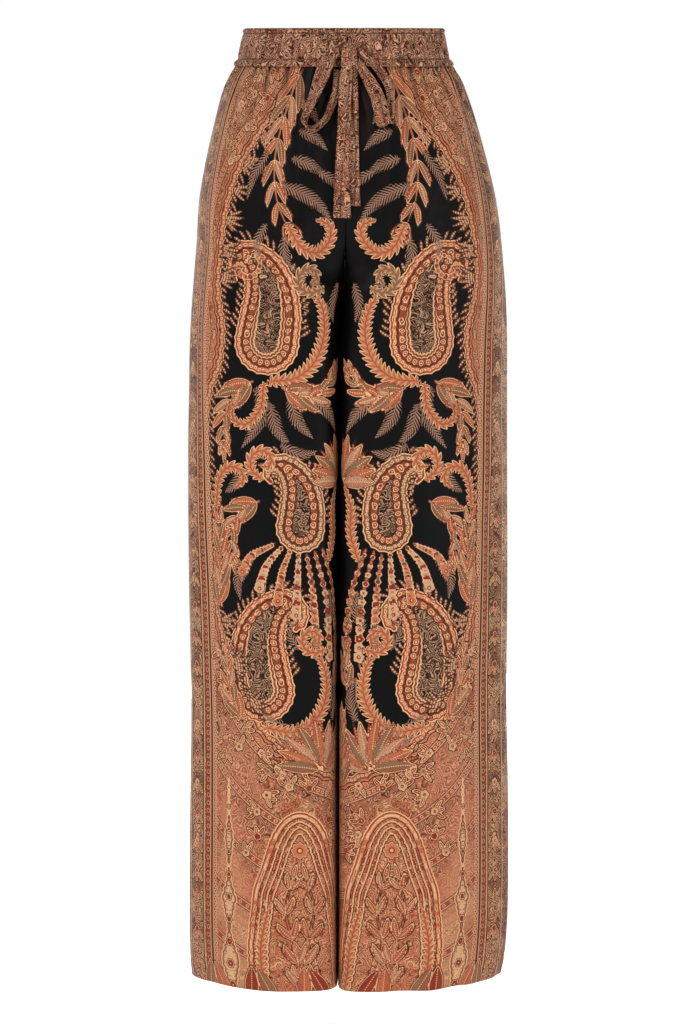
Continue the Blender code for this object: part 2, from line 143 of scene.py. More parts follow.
# The tie, as stations along the cloth: the x and z of one edge (the nearer one on a loop) and its
# distance in front of the cloth behind it, and then the same of the other edge.
TIE_STRIPS = {
    "tie_loop_right": [
        (-0.0066, -0.0065, 0.0110, -0.0090, 0.0030, 0.0070),
        (-0.0118, -0.0160, 0.0135, -0.0230, -0.0060, 0.0058),
        (-0.0185, -0.0330, 0.0150, -0.0330, -0.0260, 0.0045),
        (-0.0255, -0.0475, 0.0160, -0.0385, -0.0450, 0.0040),
        (-0.0320, -0.0600, 0.0168, -0.0435, -0.0610, 0.0038),
        (-0.0385, -0.0715, 0.0172, -0.0480, -0.0740, 0.0035),
        (-0.0420, -0.0810, 0.0172, -0.0485, -0.0805, 0.0032),
        (-0.0400, -0.0880, 0.0168, -0.0440, -0.0850, 0.0030),
        (-0.0327, -0.0902, 0.0160, -0.0350, -0.0850, 0.0028),
        (-0.0250, -0.0855, 0.0150, -0.0280, -0.0800, 0.0026),
        (-0.0180, -0.0770, 0.0130, -0.0223, -0.0715, 0.0026),
        (-0.0115, -0.0650, 0.0090, -0.0186, -0.0594, 0.0026),
        (-0.0078, -0.0520, 0.0044, -0.0150, -0.0470, 0.0026),
        (-0.0060, -0.0380, 0.0030, -0.0140, -0.0350, 0.0026),
        (-0.0050, -0.0255, 0.0030, -0.0135, -0.0240, 0.0026),
    ],
    "tie_loop_left": [
        (0.0120, -0.0075, 0.0080, 0.0140, 0.0005, 0.0080),
        (0.0225, -0.0160, 0.0070, 0.0285, -0.0085, 0.0070),
        (0.0325, -0.0270, 0.0060, 0.0400, -0.0205, 0.0060),
        (0.0410, -0.0400, 0.0050, 0.0490, -0.0350, 0.0056),
        (0.0450, -0.0540, 0.0044, 0.0535, -0.0510, 0.0056),
        (0.0455, -0.0680, 0.0044, 0.0545, -0.0665, 0.0060),
        (0.0430, -0.0790, 0.0052, 0.0540, -0.0780, 0.0072),
        (0.0375, -0.0845, 0.0085, 0.0530, -0.0832, 0.0105),
        (0.0330, -0.0825, 0.0125, 0.0500, -0.0805, 0.0140),
        (0.0305, -0.0700, 0.0150, 0.0470, -0.0680, 0.0160),
        (0.0270, -0.0560, 0.0155, 0.0425, -0.0525, 0.0160),
        (0.0215, -0.0430, 0.0150, 0.0345, -0.0375, 0.0155),
        (0.0160, -0.0320, 0.0140, 0.0250, -0.0245, 0.0145),
        (0.0110, -0.0205, 0.0122, 0.0150, -0.0120, 0.0128),
    ],
    "tie_tail_right": [
        (0.0090, -0.0150, 0.0110, -0.0030, -0.0150, 0.0110),
        (0.0078, -0.0300, 0.0120, -0.0062, -0.0300, 0.0120),
        (0.0066, -0.0480, 0.0096, -0.0076, -0.0480, 0.0100),
        (0.0054, -0.0830, 0.0066, -0.0088, -0.0830, 0.0072),
        (0.0045, -0.1390, 0.0074, -0.0119, -0.1390, 0.0068),
        (0.0060, -0.1855, 0.0106, -0.0138, -0.1855, 0.0090),
    ],
    "tie_tail_left": [
        (0.0120, -0.0160, 0.0080, 0.0010, -0.0160, 0.0080),
        (0.0135, -0.0300, 0.0070, 0.0000, -0.0300, 0.0070),
        (0.0138, -0.0480, 0.0044, -0.0012, -0.0480, 0.0050),
        (0.0142, -0.0830, 0.0036, -0.0022, -0.0830, 0.0036),
        (0.0151, -0.1390, 0.0034, -0.0006, -0.1390, 0.0034),
        (0.0164, -0.1725, 0.0046, -0.0002, -0.1725, 0.0042),
    ],
}
KNOT_CENTRE = (0.0040, -0.0100)  # x and z
KNOT_SIZE = (0.0215, 0.0125, 0.0300)

# The waistband's outer face from its lower seam up: a height, how far the face stands out there, and
# how much of the gathers' depth it has. Two stitched lines pull it in, one under the header and one
# over the seam.
BAND_ROWS = [
    (-0.0210, 0.0002, 0.60),
    (-0.0202, 0.0013, 0.90),
    (-0.0185, 0.0024, 1.10),
    (-0.0165, 0.0026, 1.10),
    (-0.0145, 0.0016, 0.90),
    (-0.0130, 0.0001, 0.40),
    (-0.0116, 0.0008, 0.60),
    (-0.0070, 0.0020, 0.90),
    (0.0000, 0.0025, 1.00),
    (0.0070, 0.0023, 1.00),
    (0.0125, 0.0013, 0.75),
    (0.0152, 0.0001, 0.40),
    (0.0168, 0.0009, 0.80),
    (0.0188, 0.0013, 1.10),
    (0.0204, 0.0007, 1.10),
    (0.0210, -0.0003, 1.00),
]
HEADER_STITCH = 0.0152
SEAM_STITCH = -0.0130
SLIT = (0.0018, 0.0040, 0.0145)  # the x, foot and top of the slit that the drawstring comes out of

PANEL_ROWS = 472
PANEL_COLUMNS = 168
INNER_STEP = 4  # how much coarser the inside face of the cloth is
PLAIN_WIDTH = 0.235  # of a panel, from its side seam to where it widens towards the crotch
STRETCH_FROM = 0.35  # the share of its columns after which they spread
HEM_TURN = 0.020  # height of the turned-up hem
PANEL_SEEDS = {"front_left": 11, "front_right": 23, "back_left": 37, "back_right": 51}
NOISE_CELLS = 64  # of soft noise each way, before it repeats
NOISE_START = 16  # the cell that a place of 0 is in
BAKE_WIDTH = 0.40  # metres of cloth across the OFBake map
BAKE_LENGTH = 1.08  # and down it
MM = 1000.0


def srgb(red, green, blue):
    """A colour for a shader from the three 8-bit values that a picture would hold."""
    return tuple((value / 255) ** 2.2 for value in (red, green, blue))


# ---------------------------------------------------------------------------------------- form


def level_at(height):
    """The outline's values at a height, on smooth curves through the table."""
    heights = [level.height for level in LEVELS]
    at = min(max(height, heights[-1]), heights[0])
    index = next(i for i in range(len(LEVELS) - 1) if at >= heights[i + 1])
    around = [LEVELS[min(max(index + k, 0), len(LEVELS) - 1)] for k in (-1, 0, 1, 2)]
    before, top, low, after = (np.array(level) for level in around)
    span = top[0] - low[0]
    share = (top[0] - at) / span
    leave = (low - before) / (before[0] - low[0]) * span
    arrive = (after - top) / (top[0] - after[0]) * span
    values = (
        (2 * share**3 - 3 * share**2 + 1) * top
        + (share**3 - 2 * share**2 + share) * leave
        + (3 * share**2 - 2 * share**3) * low
        + (share**3 - share**2) * arrive
    )
    return Level(height, *values[1:])


def smooth_step(value, low, high):
    share = np.clip((value - low) / (high - low), 0.0, 1.0)
    return share * share * (3 - 2 * share)


def section(height, side, face):
    """A quarter of the outline from the side seam to the centre line, as x and y of many points.

    side is 1 on the wearer's left and -1 on the right, face is -1 in front and 1 behind.
    """
    level = level_at(height)
    half_width = level.left if side > 0 else level.right
    depth, valley = (level.front, FRONT_VALLEY) if face < 0 else (level.back, BACK_VALLEY)
    up = min(max((height - CROTCH) / valley, 0.0), 1.0)
    kept = (1 - (1 - up) ** VALLEY_TOP) ** VALLEY_FOOT
    below = smooth_step(CROTCH - height, -0.02, 0.05)
    parting = level.middle * side + below * LEG_GAP / 2
    crest = half_width * level.crest
    angle = np.linspace(0, math.pi / 2, CURVE_POINTS)
    side_x = crest + (half_width - crest) * np.cos(angle) ** (2 / level.outer)
    side_y = depth * np.sin(angle) ** (2 / level.outer)
    squareness = level.inner + INNER_SQUARE * smooth_step(-height, 0.20, 0.38)
    inward = 1 - np.sin(angle) ** (2 / squareness)
    deep = smooth_step(1 - kept, 0.03, 0.55)
    round_turn = np.cos(angle) ** (2 / squareness)
    soft_turn = (1 - np.cos(math.pi * inward)) / 2
    turn = deep * round_turn + (1 - deep) * soft_turn
    centre_x = parting + (crest - parting) * inward
    centre_y = depth * (kept + (1 - kept) * turn)
    x = np.concatenate([side_x, centre_x[1:]])
    y = np.maximum(np.concatenate([side_y, centre_y[1:]]), 0) * face
    lean = (LEG_LEAN * y + LEG_BEND * np.tanh(y / 0.012)) * smooth_step(-height, 0.20, 0.34)
    return np.stack([x * side + lean, y], axis=1)


def steps_of(points):
    """The distance from each point of a line to the next."""
    return np.linalg.norm(np.diff(points, axis=0), axis=1)


def travelled(points):
    """The distance along a line to each of its points."""
    return np.concatenate([[0], np.cumsum(steps_of(points))])


def spaced(points, places):
    """The points of a curve at these distances along it."""
    along = travelled(points)
    return np.stack([np.interp(places, along, points[:, k]) for k in (0, 1)], axis=1)


def curve_length(points):
    return float(steps_of(points).sum())


def cloth_front(x, z):
    """The y of the front of the garment's plain form at a place near the centre line."""
    curve = section(z, 1 if x >= 0 else -1, -1)
    order = np.argsort(curve[:, 0])
    return float(np.interp(x, curve[order, 0], curve[order, 1]))


def soft_noise(seed, across, along, cell_across, cell_along):
    """Smooth random heights from -1 to 1 at places in metres, on cells of a given size."""
    lattice = np.random.default_rng(seed).uniform(-1, 1, (NOISE_CELLS, NOISE_CELLS))
    i, j = across / cell_across + NOISE_START, along / cell_along + NOISE_START
    low_i, low_j = np.floor(i).astype(int), np.floor(j).astype(int)
    share_i, share_j = smooth_step(i - low_i, 0, 1), smooth_step(j - low_j, 0, 1)

    def line(cell):
        rows = lattice[cell % NOISE_CELLS, low_j % NOISE_CELLS]
        return rows * (1 - share_j) + lattice[cell % NOISE_CELLS, (low_j + 1) % NOISE_CELLS] * share_j

    return line(low_i) * (1 - share_i) + line(low_i + 1) * share_i


def fold_rise(folds, height, share, length):
    """The height of the long folds at each point of a panel."""
    rise = np.zeros_like(share)
    for at, width, high, top, foot in folds:
        ends = smooth_step(top - height, 0.0, 0.12) * smooth_step(height - foot, 0.0, 0.15)
        rise += high * ends * np.exp(-(((share - at) * length / width) ** 2))
    seams = np.minimum(share, 1 - share) * length
    return rise * np.clip(seams / 0.02, 0, 1)


# Gathers of several widths, in metres of cloth, and how deep each is as a share of the whole.
GATHER_WIDTHS = [(0.0080, 0.35), (0.0120, 0.70), (0.0180, 1.00), (0.0270, 1.00), (0.0420, 0.70)]


def gather_rise(seed, cloth, depth):
    """Soft pleats that run down from the waistband, the narrow ones ending first.

    cloth is the place across the panel and depth the distance below the band, in metres.
    """
    random = np.random.default_rng(seed)
    rise = np.zeros_like(cloth)
    for width, deep in GATHER_WIDTHS:
        phase, drift = random.uniform(0, 2 * math.pi), random.uniform(-1, 1)
        sway = soft_noise(seed + int(width * 1e5), cloth, depth, width * 4, 0.06)
        turn = math.pi * cloth / width + phase + 1.6 * sway + drift * 6 * depth
        arch = np.abs(np.sin(turn)) - 2 / math.pi
        rise += deep * arch * np.exp(-depth / (3.0 * width)) * (0.75 + 0.5 * sway)
    return rise


def crease_rise(seed, cloth, depth):
    """Small uneven waves of hanging cloth, longer down the leg than across it."""
    broad = soft_noise(seed + 1, cloth, depth + 0.10 * cloth, 0.036, 0.170)
    small = soft_noise(seed + 2, cloth, depth - 0.20 * cloth, 0.015, 0.060)
    return 0.75 * broad + 0.25 * small


def seam_rise(places, length, heights):
    """The cloth dips into its seams, with small puckers along the stitches."""
    rise = np.zeros_like(places)
    for off, seed in ((places, 3), (length - places, 4)):
        pucker = 0.6 + 0.5 * soft_noise(seed, off * 0, heights, 1.0, 0.008)
        rise -= np.exp(-((off / 0.0030) ** 2)) * pucker
    return rise


def normals_of(grid):
    """Unit normals of a grid of points, one way or the other."""
    normals = np.cross(np.gradient(grid, axis=1), np.gradient(grid, axis=0))
    return normals / np.linalg.norm(normals, axis=2, keepdims=True)


def panel_grid(name, side, face, cloth):
    """The outer and inner faces of a panel as grids of points, with the cloth's own places.

    It gives outer, inner, across (metres of cloth from the side seam) and painted shade, from 0 to 1:
    darkest deep in a gather, with a painted shadow just under the waistband.
    """
    heights = np.linspace(PANEL_TOP, HEM, PANEL_ROWS + 1)
    share = np.linspace(0, 1, PANEL_COLUMNS + 1)
    near = np.clip((share - STRETCH_FROM) / (1 - STRETCH_FROM), 0, 1)
    base, across, places, lengths = [], [], [], []
    for height in heights:
        curve = section(height, side, face)
        length = curve_length(curve)
        plain = min(length, PLAIN_WIDTH)
        place = share * plain + (length - plain) * near**1.5
        base.append(np.column_stack([spaced(curve, place), np.full_like(place, height)]))
        across.append(place * PLAIN_WIDTH / plain if length < PLAIN_WIDTH else place)
        places.append(place)
        lengths.append(np.full_like(place, length))
    base, across, places, lengths = map(np.array, (base, across, places, lengths))
    height = base[:, :, 2]
    depth = PANEL_TOP - height
    seed = PANEL_SEEDS[name]
    folds = fold_rise(FOLDS[name], height, share[None, :] * np.ones_like(height), lengths)
    seams = np.clip(np.minimum(places, lengths - places) / 0.012, 0, 1)
    gathers = cloth.gather_depth * gather_rise(seed, across, depth) * (0.35 + 0.65 * seams)
    creases = cloth.crease_depth * crease_rise(seed, across, depth) * seams
    creases = creases * smooth_step(depth, 0.0, 0.10)
    hem = 0.0004 * smooth_step(HEM + HEM_TURN - height, -0.001, 0.001)
    hem = hem - 0.0005 * np.exp(-(((height - HEM - HEM_TURN) / 0.0022) ** 2))
    rise = folds + gathers + creases + hem + cloth.seam_dip * seam_rise(places, lengths, height)
    normals = normals_of(base) * -side * face
    outer = base + normals * rise[..., None]
    fade = np.exp(-depth / 0.030)
    drop = cloth.thickness + cloth.gather_depth * 1.9 * fade
    inner = base + normals * (folds + creases * 0.8 - drop)[..., None]
    sag = 0.0016 * soft_noise(seed + 5, across, across * 0, 0.030, 1.0) * seams
    for grid in (outer, inner):
        grid[0, :, 2] = PANEL_TOP
        grid[-1, :, 2] = HEM
        grid[:, :, 2] += (sag + 0.0006) * smooth_step(HEM + 0.05 - height, 0.0, 0.05)
        grid[:, :, 1] = np.maximum(grid[:, :, 1] * face, 0) * face
        above = heights > CROTCH
        grid[above, :, 0] = np.maximum(grid[above, :, 0] * side, 0) * side
        grid[above, -1, 0] = 0  # the centre seam
        grid[~above, -1, 1] = 0  # the inseam
        grid[:, 0, 1] = 0  # the side seam
    # Painted shade: the hollows of the gathers, and a painted shadow along the foot of the waistband.
    painted_shade = np.clip(-1.1 * gathers / cloth.gather_depth, 0, 1) + 0.7 * np.exp(-depth / 0.0025)
    return outer, inner[::INNER_STEP, ::INNER_STEP], across, painted_shade


# --------------------------------------------------------------------------------------- print

LEAF, BEADED, FROND, FERN, FLOWER, LINE = range(6)  # kinds of small motif
BOTEH, ARCH, SPIRED = range(3)  # kinds of large motif
CORAL, OLIVE, BEIGE, WINE = range(4)  # tints, in the order of TINTS


def smooth_path(points, samples=8):
    """A smooth line through the points, with each of them on it."""
    points = np.array(points, float)
    ends = np.vstack([2 * points[0] - points[1], points, 2 * points[-1] - points[-2]])
    share = np.linspace(0, 1, samples, endpoint=False)[:, None]
    runs = []
    for before, start, stop, after in zip(ends, ends[1:], ends[2:], ends[3:]):
        runs.append(
            0.5
            * (
                2 * start
                + (stop - before) * share
                + (2 * before - 5 * start + 4 * stop - after) * share**2
                + (3 * start - before - 3 * stop + after) * share**3
            )
        )
    return np.vstack(runs + [points[-1:]])


def path_at(path, share):
    """The point and the direction, as an angle, at a share of a line's length."""
    along = travelled(path) / steps_of(path).sum()
    point = np.array([np.interp(share, along, path[:, k]) for k in (0, 1)])
    index = min(int(np.searchsorted(along, share, side="right")) - 1, len(path) - 2)
    step = path[index + 1] - path[index]
    return point, math.atan2(step[1], step[0])


class Motifs:
    """One layer of the print: what its nearest motif is at every point of a panel.

    out is the distance to that motif's edge, below 0 inside it. along and off are the place along
    its middle line and to one side of it, and half is its half width there. All are millimetres.
    """

    def __init__(self, x, v, far=60.0):
        self.x, self.v = x, v
        self.out = np.full(x.shape, far)
        self.along, self.off, self.half, self.kind, self.tint = np.zeros((5, *x.shape))

    def near(self, low, high):
        """The rows and the mask of the points between two corners."""
        rows = slice(*np.searchsorted(self.v[:, 0], (low[1], high[1])))
        x = self.x[rows]
        return rows, (x > low[0]) & (x < high[0])

    def keep(self, rows, mask, **values):
        """Takes a motif's values where it lies over the others or is nearer than they are."""
        inside = values["out"]
        mine = (inside < 0) | (inside < self.out[rows][mask])
        where = np.zeros_like(mask)
        where[mask] = mine
        for name, value in values.items():
            getattr(self, name)[rows][where] = value[mine] if np.ndim(value) else value

    def stroke(self, points, halves, kind, tint=CORAL, reach=5.0, samples=8):
        """A tapered stroke along a smooth line, with its half widths from start to end."""
        path = smooth_path(points, samples)
        share = np.linspace(0, 1, len(path))
        half = np.interp(share, np.linspace(0, 1, len(halves)), halves)
        margin = half.max() + reach
        rows, mask = self.near(path.min(0) - margin, path.max(0) + margin)
        if not mask.any():
            return
        spots = np.stack([self.x[rows][mask], self.v[rows][mask]], axis=1)
        start, step = path[:-1], np.diff(path, axis=0)
        size = np.maximum((step**2).sum(1), 1e-9)
        gap = spots[:, None] - start[None]
        along = np.clip((gap * step).sum(2) / size, 0, 1)
        off = np.linalg.norm(gap - along[..., None] * step, axis=2)
        wide = half[:-1] + along * np.diff(half)
        best = np.argmin(off - wide, axis=1)
        pick = (np.arange(len(spots)), best)
        turn = step[best, 0] * gap[pick][:, 1] - step[best, 1] * gap[pick][:, 0]
        passed = np.concatenate([[0], np.cumsum(np.sqrt(size))])[:-1]
        place = passed[best] + along[pick] * np.sqrt(size[best])
        # Round the blunt start the place runs on, so that a row of beads goes round it too.
        behind = -(gap[:, 0] * step[0]).sum(1)
        round_turn = np.arctan2(np.maximum(behind, 0), np.abs(turn))
        place = np.where((best == 0) & (behind > 0), -round_turn * half[0] * 0.8, place)
        self.keep(
            rows,
            mask,
            out=(off - wide)[pick],
            along=place,
            off=off[pick] * np.where(turn < 0, -1, 1),
            half=wide[pick],
            kind=kind,
            tint=tint,
        )

    def flower(self, centre, radius, tint, petals):
        """A round flower: off is the distance from its centre, and along runs round it."""
        margin = radius * 1.2 + 4
        rows, mask = self.near(np.array(centre) - margin, np.array(centre) + margin)
        gap_x, gap_v = self.x[rows][mask] - centre[0], self.v[rows][mask] - centre[1]
        off = np.hypot(gap_x, gap_v)
        angle = np.arctan2(gap_v, gap_x)
        edge = radius * (1 + 0.13 * np.cos(petals * angle))
        self.keep(
            rows,
            mask,
            out=off - edge,
            along=angle * radius,
            off=off,
            half=np.full_like(off, radius),
            kind=FLOWER,
            tint=tint,
        )

    def leaf(self, base, angle, length, width, bend, kind, tint):
        """A pointed leaf from its base in a direction, bent to one side by a share of its length."""
        share = np.array([0, 0.25, 0.5, 0.75, 1.0])
        forward = np.array([math.cos(angle), math.sin(angle)])
        aside = np.array([-forward[1], forward[0]])
        bow = bend * length * share**2
        points = np.array(base) + np.outer(share * length, forward) + np.outer(bow, aside)
        halves = width / 2 * np.sin(math.pi * np.linspace(0, 1, 13) ** 0.85) ** 0.9
        self.stroke(points, halves, kind, tint, reach=3.0, samples=4)

    def spray(self, stem, pairs, length, width, lean=0.6, tip=0.5, tints=(CORAL, OLIVE, BEIGE)):
        """Leaves in pairs along a stem, with a narrow beaded leaf between them, and one at its end."""
        path = smooth_path(stem)
        self.stroke(stem, [1.3, 1.0, 0.6], LINE, CORAL, reach=1.5)
        for index in range(pairs):
            share = 0.04 + 0.88 * index / max(pairs - 1, 1)
            point, angle = path_at(path, share)
            size = 1 - (1 - tip) * share
            for turn in (-1, 1):
                pick = tints[(index + (turn > 0)) % len(tints)]
                beaded = angle + turn * lean * 1.35
                self.leaf(point, beaded, length * size * 0.9, 4.6, -turn * 0.30, BEADED, WINE)
                aim = angle + turn * lean
                self.leaf(point, aim, length * size, width * size, -turn * 0.24, LEAF, pick)
        point, angle = path_at(path, 1.0)
        self.leaf(point, angle, length * tip * 1.1, width * tip, 0.0, LEAF, tints[0])

    def fern(self, points, half):
        self.stroke(points, [half * 0.6, half, half * 0.9, half * 0.55, 0.6], FERN, BEIGE, reach=2.0)

    def frond(self, points, half, tint=CORAL):
        self.stroke(points, [half * 0.8, half, half, half * 0.8, half * 0.4], FROND, tint, reach=3.0)

    def comb(self, base, angle, count, length):
        """A few beaded fingers side by side, the middle one the longest."""
        for index in range(count):
            place = index - (count - 1) / 2
            aim = angle + 0.30 * place
            reach = length * (1 - 0.10 * abs(place))
            start = (base[0] - 2.2 * place * math.sin(angle), base[1] + 2.2 * place * math.cos(angle))
            self.leaf(start, aim, reach, 3.9, 0.18, BEADED, BEIGE)

    def fringe(self, path, spacing, length, side):
        """Short beaded fingers that stand out from one side of a line."""
        whole = steps_of(path).sum()
        for index in range(int(whole / spacing)):
            point, angle = path_at(path, (index + 0.5) * spacing / whole)
            reach = length * (0.8 + 0.2 * math.cos(index * 1.7))
            self.leaf(point, angle + side * 1.15, reach, 3.6, -0.25 * side, BEADED, BEIGE)

    def beads(self, points, count, small, large, tint=CORAL):
        """Round flowers strung along a line, which grow from one end to the other."""
        path = smooth_path(points)
        for index in range(count):
            share = index / (count - 1)
            radius = small + (large - small) * share
            self.flower(path_at(path, share)[0], radius, tint if index % 3 else WINE, 5)


def curl(centre, start, stop, angle, turns, count=14):
    """A line that winds inwards round a centre."""
    share = np.linspace(0, 1, count)
    radius = start + (stop - start) * share
    turn = angle + 2 * math.pi * turns * share
    return np.stack([centre[0] + radius * np.cos(turn), centre[1] + radius * np.sin(turn)], axis=1)


# Where the black field meets the ornament round it: x for each v down the panel.
FIELD_EDGE = [(-20, 60), (21, 66), (60, 84), (92, 106), (128, 128), (172, 141), (226, 148), (268, 147)]
FIELD_EDGE += [(310, 138), (350, 143), (385, 158), (430, 164), (560, 164), (605, 159), (655, 148)]
FIELD_EDGE += [(705, 131), (750, 104), (788, 62), (812, 14), (828, -40), (846, -170)]


def draw_field_edge(x, v):
    """The distance past the scalloped edge of the black field, below 0 outside the field."""
    ground = Motifs(x, v, far=2000.0)
    points = np.array([(at_x, at_v) for at_v, at_x in FIELD_EDGE], float)
    ground.stroke(points, [0.01, 0.01], LINE, reach=2000.0, samples=10)
    edge = smooth_path(points, 10)
    order = np.argsort(edge[:, 1])
    outside = x > np.interp(v, edge[order, 1], edge[order, 0])
    distance = np.where(outside, -np.abs(ground.off), np.abs(ground.off))
    scallop = 2.4 * (np.abs(np.sin(math.pi * ground.along / 15.0)) - 0.5)
    return distance - scallop, ground.along, distance


def boteh(cx, cv, size, bend):
    """The middle line and half widths of an upright teardrop with its tip bent to one side."""
    spine = [(0, 0), (-3 * bend, -26), (-1 * bend, -52), (10 * bend, -74), (26 * bend, -85)]
    spine += [(39 * bend, -80), (42 * bend, -67), (36 * bend, -60)]
    halves = np.array([34, 32.5, 27.5, 21.5, 15.5, 10.5, 6.5, 3.5])
    return [(cx + a * size, cv + b * size) for a, b in spine], halves * size


def large_places(front):
    """The botehs of one panel: x, v, size, which way the tip bends and the tint."""
    bend = 1 if front else -1
    return [
        (88, 322, 1.12, bend, CORAL),
        (104, 712, 1.14, -bend, CORAL),
        (54, 530, 0.84, bend, OLIVE),
    ]


# Where the combs stand along the field's edge, as shares of its length.
COMBS = (0.05, 0.09, 0.13, 0.17, 0.21, 0.25, 0.60, 0.66, 0.72, 0.78, 0.84, 0.90)
# Where the strings of flowers at the knee end, and the ferns of the black field with their widths.
STRINGS = [(8, 680), (24, 676), (42, 660), (62, 628), (82, 612), (102, 598), (122, 580)]
FERNS = [
    ([(70, 152), (48, 160), (28, 174), (14, 194)], 10.0),
    ([(60, 122), (42, 128), (22, 140)], 9.0),
    ([(54, 92), (38, 98), (22, 112)], 8.5),
    ([(56, 62), (44, 70), (34, 84)], 8.0),
    ([(30, 136), (14, 146), (4, 162)], 7.5),
    ([(94, 196), (104, 214), (100, 232)], 8.0),
    ([(70, 210), (72, 226), (64, 240)], 8.0),
    ([(8, 262), (14, 282), (10, 302)], 7.5),
    ([(98, 378), (94, 400), (106, 424), (120, 442)], 10.0),
    ([(62, 390), (54, 412), (38, 430)], 9.5),
    ([(30, 392), (16, 404), (4, 424)], 9.0),
    ([(84, 396), (78, 420), (62, 440)], 9.5),
    ([(70, 440), (52, 448), (34, 444)], 9.0),
    ([(118, 468), (130, 484), (142, 492)], 8.0),
    ([(112, 566), (128, 590), (126, 612)], 9.0),
    ([(28, 640), (20, 622), (22, 600)], 8.5),
    ([(78, 772), (86, 752), (102, 740)], 9.0),
    ([(20, 744), (14, 722), (20, 700)], 8.5),
    ([(60, 664), (70, 650), (66, 640)], 6.5),
]
ARCHES = [(62, 858, 64), (-66, 900, 58)]  # the x, top and half width of each arch over the hem
SPIRE = [24, 19, 7, 10, 15, 9, 4, 8, 12, 6, 3, 6, 8, 4, 2, 3, 1]  # half widths from the hem up


def draw_large(x, v, front):
    """The large motifs: botehs in the black field, and pointed arches over the hem."""
    large = Motifs(x, v)
    for cx, top, half in ARCHES:
        spine = [(cx, 1170), (cx, 1060), (cx, 1010), (cx, 955), (cx, top + 26), (cx, top)]
        halves = [half, half, half * 0.98, half * 0.88, half * 0.50, 2.0]
        large.stroke(spine, halves, ARCH, CORAL, 20.0)
    large.stroke([(147, 1100 - 18 * step) for step in range(len(SPIRE))], SPIRE, SPIRED, BEIGE, 4.0, 4)
    for cx, cv, size, bend, tint in large_places(front):
        spine, halves = boteh(cx, cv, size, bend)
        large.stroke(spine, halves, BOTEH, tint, reach=14.0)
    return large


def scatter_sprigs(small, seed):
    """Little flowers with two or three leaves all over the ornament, and in a row in the border."""
    random = np.random.default_rng(seed)
    edge = np.array(FIELD_EDGE, float)
    spots = [(at_x, at_v) for at_v in range(-20, 1090, 25) for at_x in range(-96, 168, 25)]
    spots += [(202.0, at_v) for at_v in range(-20, 1090, 34)]
    for at_x, at_v in spots:
        in_border = at_x > 168
        move_x, move_v, turn, pick = random.uniform(-1, 1, 4)
        if not in_border:
            at_x, at_v = at_x + 7 * move_x, at_v + 8 * move_v
            arched = any(
                abs(at_x - cx) < half * min(1.15, 0.3 + (at_v - top) / 110) for cx, top, half in ARCHES
            )
            if at_x < np.interp(at_v, edge[:, 0], edge[:, 1]) + 16 or at_x > 160 or arched:
                continue
            if at_v > 800 and abs(at_x - 147) < 22:
                continue
        turn = 3.1 * turn if not in_border else 1.57 * np.sign(move_x)
        tints = ((OLIVE, WINE, BEIGE), (WINE, BEIGE, CORAL), (BEIGE, OLIVE, WINE))[int(1.5 * pick + 1.5)]
        for index in range(3):
            angle = turn + (index - 1) * 0.95
            base = (at_x + 2.5 * math.cos(angle), at_v + 2.5 * math.sin(angle))
            length = 13.5 - 2.5 * (index % 2)
            small.leaf(base, angle, length, 5.6, 0.25 * (1 - index), LEAF, tints[index])
        small.flower((at_x, at_v), 4.2 + 0.9 * pick, tints[0], 5)


